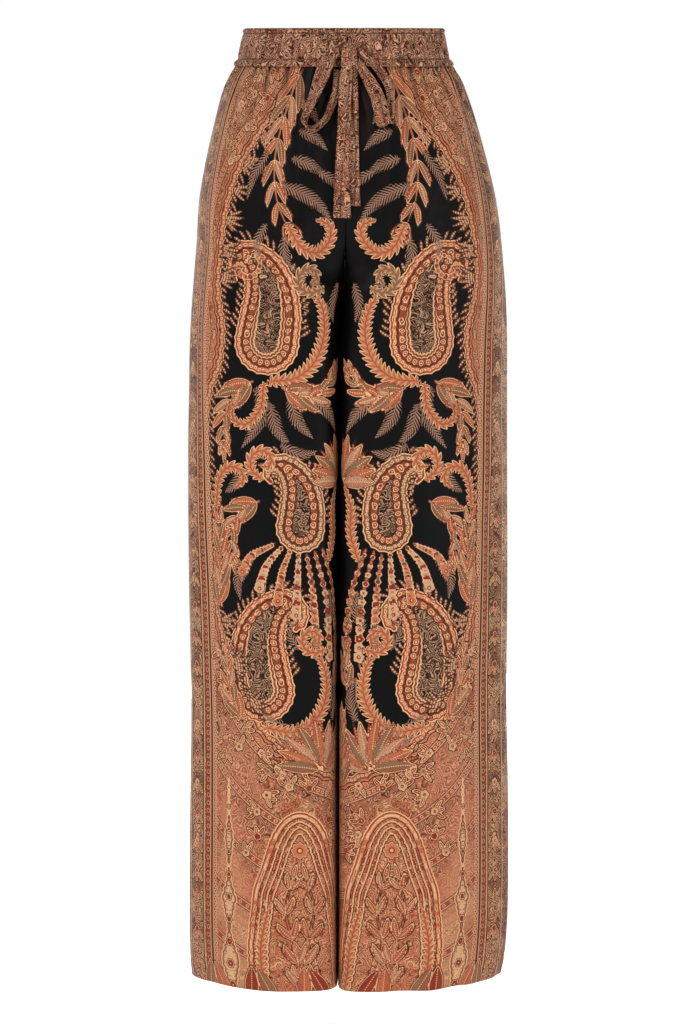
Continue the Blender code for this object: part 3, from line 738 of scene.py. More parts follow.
def draw_small(x, v, front):
    """The leaves, ferns, curls and flowers that lie over everything else."""
    small = Motifs(x, v)
    edge = smooth_path([(at_x, at_v) for at_v, at_x in FIELD_EDGE[2:-2]], 10)
    small.fringe(edge, 8.0, 13, 1)
    for index, share in enumerate(COMBS):
        point, angle = path_at(edge, share)
        small.comb(point, angle + 1.35, 3 + index % 2, 24)
    # Feathery fingers round the botehs.
    for cx, cv, size, turn, _ in large_places(front):
        spine, halves = boteh(cx, cv, size, turn)
        path = smooth_path(spine)
        wide = np.interp(np.linspace(0, 1, len(path)), np.linspace(0, 1, len(halves)), halves)
        step = np.gradient(path, axis=0)
        aside = np.stack([-step[:, 1], step[:, 0]], axis=1) / np.linalg.norm(step, axis=1)[:, None]
        for way in (-1, 1):
            outline = (path + way * aside * (wide - 0.5)[:, None])[2:-12]
            small.fringe(outline, 7.5, 13 * size**0.5, way)
    scatter_sprigs(small, 5 if front else 6)
    # Ferns, thickest near the ornament, from the waist to the foot of the field.
    for points, half in FERNS:
        small.fern(points, half)
    # Garlands that hang from the waistband, and the curls that they end in.
    small.spray([(64, 22), (78, 70), (86, 118), (80, 164), (62, 204)], 8, 44, 11.5, 0.62, 0.5)
    small.frond([(64, 198), (52, 218), (34, 224), (19, 212), (18, 195), (31, 188)], 9.0)
    small.fern([(98, 118), (112, 140), (118, 166)], 8.0)
    # Round the hip boteh: fronds at its foot, and a spray to each side.
    small.frond([(80, 366), (55, 362), (34, 344), (23, 314), (26, 286), (36, 270)], 9.5)
    small.frond(curl((42, 252), 17, 5, 2.3, -1.05), 7.5, OLIVE)
    small.beads(curl((112, 236), 17, 6, 0.6, 0.85), 12, 4.4, 2.4)
    small.spray([(104, 366), (126, 382), (141, 408), (142, 440)], 6, 38, 12, 0.6)
    small.spray([(70, 374), (46, 382), (24, 376), (6, 356)], 6, 36, 12, 0.6)
    small.frond([(92, 372), (96, 396), (112, 414), (128, 410), (130, 398)], 7.0)
    # A palmette that opens upwards at the knee, and the strings of flowers that hang from it.
    for index, angle in enumerate((-1.57, -1.20, -0.85, -0.50, -0.15)):
        small.leaf((0.0, 480.0), angle - 0.14, 54 - 3 * index, 5.0, 0.1, BEADED, WINE)
        tint = (CORAL, BEIGE, OLIVE)[index % 3]
        small.leaf((0.0, 480.0), angle, 56 - 4 * index, 15, 0.14, LEAF, tint)
    small.frond([(20, 562), (12, 536), (12, 508), (4, 486)], 8.0)
    for index, (foot_x, foot_v) in enumerate(STRINGS):
        top = np.array([30.0 + index * 9.0, 560.0 - 3.0 * abs(index - 2)])
        foot = np.array([foot_x, foot_v])
        middle = top * 0.5 + foot * 0.5 + (2.5 * (index - 3), -2.0)
        small.stroke([top, middle, foot + (1, 10)], [1.6, 2.2, 2.6, 0.8], BEADED, WINE, reach=1.5)
        small.beads([top * 0.9 + middle * 0.1, middle, foot], 12, 2.8, 6.0, (CORAL, BEIGE)[index % 2])
    small.spray([(100, 500), (121, 512), (134, 536), (133, 566)], 6, 34, 11, 0.6)
    small.frond(curl((94, 456), 18, 5, 1.3, -1.0), 7.5)
    # Long sprays up the side of the black field, each ending in a curl.
    small.spray([(157, 624), (151, 580), (152, 536), (155, 500)], 7, 36, 11.5, 0.55)
    small.frond([(155, 506), (151, 480), (138, 464), (122, 465), (118, 477), (127, 485)], 7.5)
    small.spray([(10, 712), (5, 680), (8, 646)], 4, 28, 9.5, 0.6)
    # Round the calf boteh: a frond on each side and a fan of leaves at its foot.
    small.frond([(96, 756), (66, 760), (42, 744), (30, 716), (32, 690), (40, 674)], 9.5)
    small.frond(curl((44, 656), 16, 5, 2.3, -1.05), 7.0)
    small.spray([(128, 748), (140, 726), (146, 700), (146, 672)], 5, 32, 11, 0.6)
    for index in range(9):
        angle = -2.95 + 0.34 * index
        small.leaf((40, 804), angle - 0.17, 58, 6.0, 0.15, BEADED, WINE)
        tint = (BEIGE, CORAL, OLIVE)[index % 3]
        small.leaf((40, 804), angle, 62 - 3 * abs(index - 4), 14.5, 0.12, LEAF, tint)
    small.spray([(0, 826), (0, 790), (0, 748)], 6, 38, 12, 0.55)
    # Over the hem: branches and rows of flowers in the arches, and broad leaves along the edge.
    for cx, top, half in ARCHES:
        for turn in (-1, 1):
            branch = [(cx, 1062), (cx + 6 * turn, 1010), (cx + 16 * turn, 966), (cx + 8 * turn, 930)]
            small.spray(branch, 5, 32, 10, 0.7, 0.6, (CORAL, BEIGE, CORAL))
            small.frond([(cx + turn * 44, 1062), (cx + turn * 45, 1010), (cx + turn * 36, 966)], 7.0)
        small.flower((cx, top + 38), 9.0, CORAL, 8)
    for step in range(9):
        small.flower((147, 1058 - 26 * step), 5.4 - 0.4 * step, WINE, 6)
    for index in range(10):
        tint = (OLIVE, WINE, CORAL)[index % 3]
        small.leaf((-84 + index * 30, 1076), -1.57 + 0.26 * (-1) ** index, 46, 17, 0.12, LEAF, tint)
    return small


def draw_print(x, v, painted_shade, front):
    """Everything the print's material reads, as sets of three numbers for each point."""
    edge, edge_along, plain_edge = draw_field_edge(x, v)
    large, small = draw_large(x, v, front), draw_small(x, v, front)
    return {
        # The third number of cloth_place is painted shade, for the gathers and under the waistband.
        "cloth_place": (x, v, painted_shade),
        "field_edge": (edge, edge_along, plain_edge),
        "large_place": (large.out, large.along, large.off),
        "large_kind": (large.half, large.kind, large.tint),
        "small_place": (small.out, small.along, small.off),
        "small_kind": (small.half, small.kind, small.tint),
    }


# -------------------------------------------------------------------------------------- meshes


def write_vectors(mesh, name, values):
    """A vector attribute on the points of a mesh."""
    layer = mesh.attributes.new(name, "FLOAT_VECTOR", "POINT")
    layer.data.foreach_set("vector", np.ascontiguousarray(values, dtype=np.float32).ravel())


def write_bake_map(mesh, places):
    """The OFBake map, laid out from a place for every point."""
    layer = mesh.uv_layers.new(name="OFBake")
    loops = np.empty(len(mesh.loops), np.int32)
    mesh.loops.foreach_get("vertex_index", loops)
    layer.data.foreach_set("uv", np.asarray(places, dtype=np.float32)[loops].ravel())


def grid_quads(rows, columns, start, flip, around=False):
    """The faces of a grid of points whose first index is start."""
    index = np.arange(rows * columns).reshape(rows, columns) + start
    if around:
        index = np.hstack([index, index[:, :1]])
    quads = np.stack([index[:-1, :-1], index[1:, :-1], index[1:, 1:], index[:-1, 1:]], axis=-1)
    quads = quads.reshape(-1, 4)
    return quads if flip else quads[:, ::-1]


def new_piece(name, points, faces, material):
    mesh = bpy.data.meshes.new(name)
    mesh.from_pydata(np.asarray(points).reshape(-1, 3).tolist(), [], [list(f) for f in faces])
    mesh.update()
    mesh.shade_smooth()
    mesh.materials.append(material)
    piece = bpy.data.objects.new(name, mesh)
    bpy.context.scene.collection.objects.link(piece)
    return piece


def grid_of(piece, rows, columns):
    """The first points of a piece, back as the grid that they were made from."""
    places = np.empty(len(piece.data.vertices) * 3, np.float32)
    piece.data.vertices.foreach_get("co", places)
    return places.reshape(-1, 3)[: rows * columns].reshape(rows, columns, 3).astype(float)


def rim_faces(outer, inner, step, flip):
    """Joins the edge of a fine grid to that of a coarser one. Each is given as its four sides."""
    faces = []
    for fine, coarse in zip(outer, inner):
        for k in range(len(coarse) - 1):
            face = list(fine[k * step : (k + 1) * step + 1]) + [coarse[k + 1], coarse[k]]
            faces.append(face if flip else face[::-1])
    return faces


def sides_of(index):
    """The four sides of a grid of indices, in one direction round it."""
    return [index[0], index[:, -1], index[-1][::-1], index[:, 0][::-1]]


def as_rows(*values):
    """Grids of numbers that fit together, as rows of one number from each."""
    return np.stack(np.broadcast_arrays(*values), axis=-1).reshape(-1, len(values))


def make_panel(name, side, face, cloth, material):
    """A front or back of one leg, as a closed sheet with the print's places on its outer face."""
    outer, inner, across, painted_shade = panel_grid(name, side, face, cloth)
    rows, columns = outer.shape[:2]
    inner_rows, inner_columns = inner.shape[:2]
    points = np.vstack([outer.reshape(-1, 3), inner.reshape(-1, 3)])
    flip = side * face > 0
    start = rows * columns
    fine = np.arange(start).reshape(rows, columns)
    coarse = start + np.arange(inner_rows * inner_columns).reshape(inner_rows, inner_columns)
    faces = list(grid_quads(rows, columns, 0, flip))
    faces += list(grid_quads(inner_rows, inner_columns, start, not flip))
    faces += rim_faces(sides_of(fine), sides_of(coarse), INNER_STEP, flip)
    piece = new_piece(f"cloth_{name}", points, faces, material)
    x = (PLAIN_WIDTH - across) * MM
    v = -np.linspace(PANEL_TOP, HEM, PANEL_ROWS + 1)[:, None] * MM * np.ones_like(x)
    every = np.s_[::INNER_STEP, ::INNER_STEP]
    for key, values in draw_print(x, v, painted_shade, face < 0).items():
        both = [as_rows(*values), as_rows(*(value[every] for value in values))]
        write_vectors(piece.data, key, np.vstack(both))
    inside = np.concatenate([np.zeros(start), np.ones(inner_rows * inner_columns)])
    write_vectors(piece.data, "cloth_face", as_rows(inside, side, 0))
    u, high = across / BAKE_WIDTH, v / MM / BAKE_LENGTH
    maps = [as_rows(u * 0.98, high), as_rows(0.84 + 0.15 * u[every], high[every])]
    write_bake_map(piece.data, np.vstack(maps))
    return piece


BAND_COLUMNS = 1008
BAND_LINES = 40
SCALLOPS = 93  # small waves along the top edge, all round
SCALLOP_DEPTH = 0.0014
BAND_AROUND = 720  # the waistband's print, all round, in millimetres


def band_outline(height, columns):
    """The waistband's plain outline at a height, all round from the wearer's left side."""
    quarters = []
    for side, face, turned in ((1, -1, False), (-1, -1, True), (-1, 1, False), (1, 1, True)):
        curve = section(height, side, face)
        points = spaced(curve, np.linspace(0, curve_length(curve), columns // 4 + 1))
        quarters.append((points[::-1] if turned else points)[:-1])
    return np.concatenate(quarters)


def ruche(seed, around, height):
    """The fine uneven gathers of cloth over elastic, from -1 to 1. around runs from 0 to 1."""
    random = np.random.default_rng(seed)
    rise = np.zeros(np.broadcast(around, height).shape)
    for count in (58, 66, 73, 81, 92, 104, 121):
        phase, drift = random.uniform(0, 2 * math.pi), random.uniform(-18, 18)
        swell = 0.55 + 0.45 * np.sin(2 * math.pi * (random.integers(3, 9) * around + phase))
        turn = 2 * math.pi * count * around + phase + drift * height
        rise += swell * (1 - 2 * np.abs(np.sin(turn / 2)) ** 1.4)
    return rise / 3.0


def make_waistband(waist, material):
    """The elasticated casing: gathered all round, with a header above a stitched line."""
    around = np.arange(BAND_COLUMNS) / BAND_COLUMNS
    table = np.array(BAND_ROWS)
    heights = np.linspace(0, 1, BAND_LINES + 1)
    heights = np.interp(heights, np.linspace(0, 1, len(table)), table[:, 0])
    over = np.interp(heights, table[:, 0], table[:, 1])
    share = np.interp(heights, table[:, 0], table[:, 2])
    outer, inner, painted_shades = [], [], []
    scallop = 0.5 + 0.5 * np.sin(2 * math.pi * SCALLOPS * around + 2.2 * np.sin(14 * math.pi * around))
    for height, stand, gathered in zip(heights, over, share):
        flat = band_outline(height, BAND_COLUMNS)
        tangent = np.roll(flat, -1, axis=0) - np.roll(flat, 1, axis=0)
        outward = np.stack([-tangent[:, 1], tangent[:, 0]], axis=1)
        outward /= np.linalg.norm(outward, axis=1, keepdims=True)
        outward *= np.sign((outward * flat).sum(axis=1, keepdims=True))
        waves = gathered * ruche(7, around, height)
        rise = stand + waist.gather_depth * waves
        lift = height - SCALLOP_DEPTH * scallop * smooth_step(height, 0.0165, 0.0205)
        outer.append(np.column_stack([flat + outward * rise[:, None], lift]))
        # Painted shade in the hollows of the ruching.
        painted_shades.append(0.45 * np.clip(-waves, 0, 1))
        inner.append(np.column_stack([flat - outward * waist.thickness, np.full(BAND_COLUMNS, height)]))
    outer, inner = np.array(outer), np.array(inner)[::2, ::2][::-1]
    rows, columns = outer.shape[:2]
    faces = list(grid_quads(rows, columns, 0, True, around=True))
    start = rows * columns
    faces += list(grid_quads(inner.shape[0], inner.shape[1], start, True, around=True))
    fine = np.arange(start).reshape(rows, columns)
    coarse = start + np.arange(inner.shape[0] * inner.shape[1]).reshape(inner.shape[:2])
    for edge, ring, flip in ((fine[-1], coarse[0], False), (fine[0], coarse[-1], True)):
        edge, ring = np.append(edge, edge[0]), np.append(ring, ring[0])
        faces += rim_faces([edge], [ring], 2, not flip)
    points = np.vstack([outer.reshape(-1, 3), inner.reshape(-1, 3)])
    piece = new_piece("cloth_waistband", points, faces, material)
    u, v = around[None, :] * BAND_AROUND, heights[:, None] * MM
    # The outer face carries its painted shade; the inside face carries 1, which marks it for its own
    # duller colour.
    both = [as_rows(u, v, np.array(painted_shades)), as_rows(u[:, ::2], v[::-2], 1.0)]
    write_vectors(piece.data, "cloth_place", np.vstack(both))
    return piece


def tie_edges(stations, samples):
    """The two edges of a stretch of the tie, as smooth lines just in front of the trousers."""
    control = []
    for station in stations:
        for x, z, over in (station[:3], station[3:]):
            control.append((x, cloth_front(x, z) - over, z))
    control = np.array(control).reshape(-1, 2, 3)
    return np.stack([smooth_path(control[:, k], samples) for k in (0, 1)], axis=1)


TIE_AROUND = 36


def make_tie_strip(name, tie, material):
    """A loop or tail of the tie: a flat sewn tube, creased lengthwise, between its two edges."""
    stations = TIE_STRIPS[name]
    edges = tie_edges(stations, 10 if len(stations) > 6 else 22)
    middles = edges.mean(axis=1)
    along = np.gradient(middles, axis=0)
    halves = edges[:, 0] - middles
    flats = np.cross(along, halves)
    flats /= np.linalg.norm(flats, axis=1, keepdims=True)
    places = travelled(middles)
    angle = np.linspace(0, 2 * math.pi, TIE_AROUND, endpoint=False)
    across = np.cos(angle)
    puff = np.sign(np.sin(angle)) * np.abs(np.sin(angle)) ** 0.7
    seed = sorted(TIE_STRIPS).index(name) + 60
    rings, painted_shades = [], []
    for middle, half, flat, far in zip(middles, halves, flats, places):
        width = np.linalg.norm(half)
        off = across * width
        sway = soft_noise(seed, off + 0.1, np.full_like(off, far), 0.0032, 0.030)
        fine = soft_noise(seed + 9, off + 0.1, np.full_like(off, far), 0.0013, 0.016)
        fold = 0.25 + 0.35 * math.sin(far / 0.034 + 1.7 * seed)
        pleat = tie.pleat * (smooth_step(across, fold - 0.14, fold + 0.04) - 0.5)
        crease = (tie.crease_depth * (sway + 0.45 * fine) + pleat) * (1 - across**6)
        thick = tie.thickness / 2 * puff * (0.85 + 0.15 * np.cos(2 * angle))
        rings.append(middle + np.outer(across, half) + np.outer(thick + crease, flat))
        # Painted shade, in the fold of the pleat and along the rolled edges.
        painted_shades.append(np.exp(-(((across - fold + 0.05) / 0.10) ** 2)) + 0.5 * across**8)
    rings, painted_shades = np.array(rings), np.array(painted_shades)
    count = len(rings)
    last = (count - 1) * TIE_AROUND
    faces = list(grid_quads(count, TIE_AROUND, 0, False, around=True))
    faces += [list(range(TIE_AROUND))[::-1], list(range(last, last + TIE_AROUND))]
    piece = new_piece(f"cloth_{name}", rings, faces, material)
    signed = np.broadcast_to(across[None, :] * 8.0 + 20 * (puff > 0), rings.shape[:2])
    lengthwise = places[:, None] * MM + 70 * seed
    write_vectors(piece.data, "cloth_place", as_rows(lengthwise, signed, np.clip(painted_shades, 0, 1)))
    return piece, middles


def make_knot(tie, material):
    """The knot: a rounded fold of the tie wrapped over itself, pinched at its top and foot."""
    around, lines = 72, 48
    wide, deep, high = KNOT_SIZE
    turn = np.linspace(0, 2 * math.pi, around, endpoint=False)[None, :]
    rise = np.linspace(-math.pi / 2, math.pi / 2, lines + 1)[:, None]

    def power(value, exponent):
        return np.sign(value) * np.abs(value) ** exponent

    ring = power(np.cos(rise), 0.45)
    pinch = (1 - 0.18 * np.abs(np.sin(rise)) ** 3) * (0.82 - 0.20 * np.sin(rise))
    x = wide / 2 * ring * power(np.cos(turn), 0.75) * pinch
    y = deep / 2 * ring * power(np.sin(turn), 0.65)
    z = high / 2 * power(np.sin(rise), 0.8) * np.ones_like(turn)
    crease = soft_noise(91, x + 0.05, z + 0.05, 0.0026, 0.012) + 0.5 * soft_noise(
        92, x + 0.05 + 0.3 * z, z + 0.05, 0.0012, 0.009
    )
    fold = smooth_step(x + 0.32 * z, 0.0012, 0.0024) - 0.5
    shell = 1 + (tie.crease_depth * 1.1 * crease + 0.0011 * fold) / (deep / 2)
    front = np.where(y < 0, shell, 1.0)
    x_centre, z_centre = KNOT_CENTRE
    low, high_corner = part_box("tie_knot")
    points = np.stack([x_centre + x, (low[1] + high_corner[1]) / 2 + y * front, z_centre + z], axis=-1)
    faces = list(grid_quads(lines + 1, around, 0, True, around=True))
    piece = new_piece("cloth_tie_knot", points, faces, material)
    write_vectors(piece.data, "cloth_place", as_rows(z * MM, x * MM, 0))
    weld(piece)
    return piece


def weld(piece):
    """Merges the points that lie together, as at the poles of a rounded piece."""
    work = bmesh.new()
    work.from_mesh(piece.data)
    bmesh.ops.remove_doubles(work, verts=work.verts, dist=1e-6)
    bmesh.ops.recalc_face_normals(work, faces=work.faces)
    work.to_mesh(piece.data)
    work.free()


# ----------------------------------------------------------------------------------- materials


class Value:
    """A number in a material, so that its maths is written as an expression."""

    def __init__(self, tree, socket):
        self.tree, self.socket = tree, socket

    def node(self, kind, inputs=None, **settings):
        """Adds a node, with its settings made first, and sets or links its inputs."""
        node = self.tree.nodes.new(kind)
        for name, setting in settings.items():
            setattr(node, name, setting)
        for key, value in (inputs or {}).items():
            socket = node.inputs[key]
            if isinstance(value, Value):
                self.tree.links.new(value.socket, socket)
            elif isinstance(value, bpy.types.NodeSocket):
                self.tree.links.new(value, socket)
            elif isinstance(value, tuple) and socket.type == "RGBA":
                socket.default_value = (*value[:3], 1)
            else:
                socket.default_value = value
        return node

    def math(self, operation, *values, clamp=False):
        node = self.node(
            "ShaderNodeMath", dict(enumerate(values)), operation=operation, use_clamp=clamp
        )
        return Value(self.tree, node.outputs[0])

    def __add__(self, other):
        return self.math("ADD", self, other)

    def __sub__(self, other):
        return self.math("SUBTRACT", self, other)

    def __rsub__(self, other):
        return self.math("SUBTRACT", other, self)

    def __mul__(self, other):
        return self.math("MULTIPLY", self, other)

    def __truediv__(self, other):
        return self.math("DIVIDE", self, other)

    __radd__ = __add__
    __rmul__ = __mul__

    def __neg__(self):
        return self * -1.0

    def __abs__(self):
        return self.math("ABSOLUTE", self)

    def wave(self, length):
        """The distance from the middle of the repeat that the value is in, in its own unit."""
        return (self.math("FRACT", self / length) - 0.5) * length

    def under(self, limit, soft=0.35):
        """1 where the value is under a limit and 0 where it is over it."""
        return self.math("ADD", (limit - self) / soft, 0.5, clamp=True)

    def over(self, limit, soft=0.35):
        return self.math("ADD", (self - limit) / soft, 0.5, clamp=True)

    def within(self, middle, half, soft=0.35):
        """1 in a line round a value."""
        return abs(self - middle).under(half, soft)

    def both(self, other):
        return self.math("MINIMUM", self, other)

    def either(self, other):
        return self.math("MAXIMUM", self, other)

    def pair(self, first, second, half, soft=0.35):
        """1 in a line round either of two values."""
        return self.within(first, half, soft).either(self.within(second, half, soft))

    def dots(self, pitch, off):
        """The squared distance from the nearest of a row of dots, off the row's own line."""
        gap = self.wave(pitch)
        return gap * gap + off * off

    def mix(self, first, second):
        """The first colour where the value is 0 and the second where it is 1."""
        node = self.node(
            "ShaderNodeMix", {0: self, 6: first, 7: second}, data_type="RGBA", clamp_factor=True
        )
        return node.outputs[2]


def vector_of(maker, name):
    """An attribute's three numbers, and the attribute itself."""
    node = maker.node("ShaderNodeAttribute", attribute_name=name)
    parts = maker.node("ShaderNodeSeparateXYZ", {0: node.outputs["Vector"]})
    return [Value(maker.tree, socket) for socket in parts.outputs], node.outputs["Vector"]


def noise(maker, place, size, detail=2.0, distort=0.0):
    """Noise from 0 to 1 whose cells are about so wide, in the place's unit."""
    node = maker.node(
        "ShaderNodeTexNoise",
        {"Vector": place, "Scale": 1 / size, "Detail": detail, "Distortion": distort},
        noise_dimensions="2D",
    )
    return Value(maker.tree, node.outputs[0])


def flower_cells(maker, place, size, petals, loose):
    """Scattered flowers: the distance from the nearest one's middle, a ripple round it for its
    petals, and two random numbers of its own."""
    node = maker.node(
        "ShaderNodeTexVoronoi",
        {"Vector": place, "Scale": 1 / size, "Randomness": loose},
        voronoi_dimensions="2D",
    )
    scaled = maker.node("ShaderNodeVectorMath", {0: place, 3: 1 / size}, operation="SCALE")
    gap = maker.node(
        "ShaderNodeVectorMath",
        {0: scaled.outputs[0], 1: node.outputs["Position"]},
        operation="SUBTRACT",
    )
    parts = maker.node("ShaderNodeSeparateXYZ", {0: gap.outputs[0]})
    angle = maker.math("ARCTAN2", parts.outputs[1], parts.outputs[0])
    ripple = maker.math("COSINE", angle * float(petals))
    pick = maker.node("ShaderNodeSeparateColor", {0: node.outputs["Color"]})
    distance, *picks = (
        Value(maker.tree, socket) for socket in (node.outputs["Distance"], *pick.outputs[:2])
    )
    return distance * size, ripple, *picks


def warp(maker, place, size, reach):
    """A place pushed about by noise, so that what is drawn on it bends."""
    push = maker.node(
        "ShaderNodeTexNoise", {"Vector": place, "Scale": 1 / size, "Detail": 1.0}, noise_dimensions="2D"
    )
    moved = maker.node(
        "ShaderNodeVectorMath",
        {0: push.outputs["Color"], 1: (reach, reach, 0.0), 2: place},
        operation="MULTIPLY_ADD",
    )
    return moved.outputs[0]


def filler_masks(maker, place, size):
    """Fine scrolls, nested rings and florets, as masks that a palette is painted through."""
    bent = warp(maker, place, size * 2.6, size * 3.4)
    off, ripple, pick, other = flower_cells(maker, bent, size * 2.3, 6, 0.9)
    dots, _, dot_pick, dot_other = flower_cells(maker, bent, size * 0.62, 5, 0.85)
    lines = noise(maker, place, size * 1.5, 0.6, 1.0) * 8.0
    rings = maker.math("FRACT", off * (1 / (size * 0.44)))
    ringed = pick.under(0.62, 0.02)
    edge = size * 0.42 + ripple * (size * 0.13)
    flowered = 1 - ringed
    return {
        "broad": noise(maker, place, size * 5.0, 1.0, 0.6).over(0.5, 0.12),
        "patch": noise(maker, bent, size * 2.0, 1.0, 0.5).over(0.56, 0.06),
        "fleck": noise(maker, place, size * 0.30, 1.0).over(0.5, 0.14),
        "low_line": maker.math("FRACT", lines).within(0.5, 0.15, 0.12),
        "high_line": maker.math("FRACT", lines + 0.33).within(0.5, 0.12, 0.12),
        "ring_low": rings.within(0.28, 0.15, 0.16) * ringed,
        "ring_high": rings.within(0.72, 0.13, 0.16) * ringed,
        "dot": dots.under(size * 0.13, 0.5) * dot_other.under(0.55, 0.02),
        "dot_pick": dot_pick.over(0.45, 0.02),
        "halo": (off - edge).within(0.7, 0.5, 0.4) * flowered,
        "petal": (off - edge).under(0.0, 0.4) * flowered,
        "pick": other,
        "line": (off - edge).within(-0.7, 0.35, 0.3) * flowered,
        "heart": off.under(size * 0.16, 0.5),
    }


def paint(tone, first, *layers):
    """Lays colours over a first one, each through its mask. A tone is given by its name."""
    colour = tone[first] if isinstance(first, str) else first
    for mask, over in layers:
        colour = mask.mix(colour, tone[over] if isinstance(over, str) else over)
    return colour


def swapped(tone, **names):
    """The palette with some of its colours taken from others of them."""
    return {**tone, **{name: tone[other] for name, other in names.items()}}


def filler(masks, tone, bright=0.0):
    """The filler of the ornament in one palette, on a ground of its terracotta."""
    pick = masks["pick"]
    petal = paint(
        tone,
        "wine",
        (pick.over(0.35, 0.02), "coral"),
        (pick.over(0.60, 0.02), "olive"),
        (pick.over(0.80, 0.02), "beige"),
    )
    return paint(
        tone,
        "terracotta",
        (masks["broad"], "coral"),
        (masks["patch"] * 0.75, "wine"),
        (masks["fleck"] * 0.55, "brown"),
        (masks["low_line"] * 0.9, "brown"),
        (masks["high_line"] * (0.6 + bright), "cream"),
        (masks["ring_low"] * 0.9, "dark"),
        (masks["ring_high"] * (0.8 + bright), "cream"),
        (masks["dot"] * 0.9, masks["dot_pick"].mix(tone["dark"], tone["cream"])),
        (masks["halo"], "dark"),
        (masks["petal"], petal),
        (masks["line"], "cream"),
        (masks["heart"], "dark"),
    )


TINTS = ("coral", "olive", "beige", "wine")
TONES = (*TINTS, "black", "rust", "blush", "terracotta", "cream", "brown", "dark", "mauve")


def colours_of(cloth):
    """The palette of the cloth's settings, by name."""
    return {name: tuple(getattr(cloth, name)) for name in TONES}


def stepped(tone, number, choices):
    """The first choice where a number is 0, the second where it is 1, and so on."""
    steps = [(number.over(index + 0.5, 0.1), choice) for index, choice in enumerate(choices[1:])]
    return paint(tone, choices[0], *steps)


def start_material(name):
    material = bpy.data.materials.new(name)
    material.use_nodes = True
    shader = material.node_tree.nodes["Principled BSDF"]
    return material, shader, Value(material.node_tree, None)


def ornament_colour(tone, masks, x, v, field, low, drift, light):
    """The ornament round the black field: filler in zones along the field's edge, and their trims."""
    edge, along, plain_edge = field
    deep = -edge
    zone = (12.0 - plain_edge).wave(52.0)
    banded = zone.over(8.0, 0.6)
    rust = dict(terracotta="rust", coral="terracotta", wine="brown", cream="beige")
    wedge = (abs(x - 146.0) + (1090.0 - v) * 0.17).under(46.0, 12.0) * low
    bead = along.dots(4.6, deep - 4.8)
    ornament = paint(
        tone,
        banded.mix(filler(masks, tone), filler(masks, swapped(tone, **rust))),
        (low * (1 - banded * 0.65), light),
        (low * 0.15, "brown"),
        (wedge * (masks["fleck"] * 0.3 + 0.15), "cream"),
        (drift.over(0.56, 0.12) * 0.42, "rust"),
        (drift.under(0.42, 0.12) * 0.34, "blush"),
        (zone.within(11.0, 3.6), "rust"),
        (along.dots(5.4, zone - 11.0).within(2.6, 1.6, 1.2), "beige"),
        (zone.pair(7.6, 14.4, 0.5), "beige"),
        (zone.pair(6.2, 15.8, 0.5), "brown"),
        (deep.pair(10.5, 13.5, 0.6) * 0.9, "coral"),
        (deep.within(12.0, 0.6), "dark"),
        (deep.under(8.2), "terracotta"),
        (deep.within(8.0, 0.5), "dark"),
        (bead.under(2.4, 1.2), "cream"),
        (bead.under(0.4, 0.4), "wine"),
        (deep.within(0.8, 0.55), "cream"),
        (deep.within(1.9, 0.4), "wine"),
    )
    fringe = along.dots(4.25, edge - 2.2).under(1.8, 0.8) * 0.9
    return paint(tone, "black", (deep.over(0.0), ornament), (fringe, "mauve"))


def large_colour(maker, tone, masks, drift, light):
    """The large motifs: nested lines round a filled middle. It gives their mask and colour."""
    (out, along, _), _ = vector_of(maker, "large_place")
    (half, kind, tint), _ = vector_of(maker, "large_kind")
    depth = -out - 1.3 * abs(maker.math("SINE", along * (math.pi / 8.5)))
    share = depth / half
    arch, spire = kind.over(0.5, 0.1), kind.over(1.5, 0.1)
    rim, blunt = 1 - arch, 1 - spire
    night = dict(terracotta="dark", coral="dark", wine="black", brown="black", cream="beige")
    rings = share.within(0.60, 0.02, 0.02).either(share.within(0.50, 0.014, 0.02))
    nested = (depth - 9.0).wave(6.4)
    inside = depth.within(18.0, 9.0) * arch * blunt
    rosette = along.dots(9.5, depth - 13.6)
    frame_lines = depth.within(17.6, 0.5).either(depth.within(9.6, 0.4))
    pearl = along.dots(4.6, depth - 5.2)
    body = paint(
        tone,
        filler(masks, swapped(tone, coral="rust"), 0.15),
        (arch, light),
        (drift.over(0.5, 0.2) * 0.3 * arch, "rust"),
        (spire, "cream"),
        (spire * masks["low_line"] * 0.5, "olive"),
        (spire * depth.within(3.4, 0.6), "olive"),
        (share.over(0.60, 0.03) * rim, filler(masks, swapped(tone, **night))),
        (rings * rim, "cream"),
        (share.within(0.55, 0.022, 0.02) * rim, "wine"),
        (inside * nested.within(0.0, 0.7), "cream"),
        (inside * nested.within(1.5, 0.5), "dark"),
        (inside * along.dots(5.2, nested + 2.0).under(1.2, 0.8), "wine"),
        (depth.under(17.6) * rim, (masks["fleck"] * 0.6).mix(tone["rust"], tone["brown"])),
        (rosette.under(10.5, 3.0) * rim, "cream"),
        (rosette.under(5.0, 2.0) * rim, "wine"),
        (rosette.under(1.0, 0.8) * rim, "cream"),
        (frame_lines * rim, "dark"),
        (depth.under(8.6) * blunt, (masks["fleck"] * 0.5).mix(stepped(tone, tint, TINTS), tone["rust"])),
        (depth.within(8.2, 0.5) * blunt, "dark"),
        (pearl.under(3.2, 1.2) * blunt, "cream"),
        (pearl.under(0.5, 0.5), "wine"),
        (depth.within(0.8, 0.7), "cream"),
        (depth.within(2.3, 0.6), "wine"),
    )
    return depth.over(0.0), body


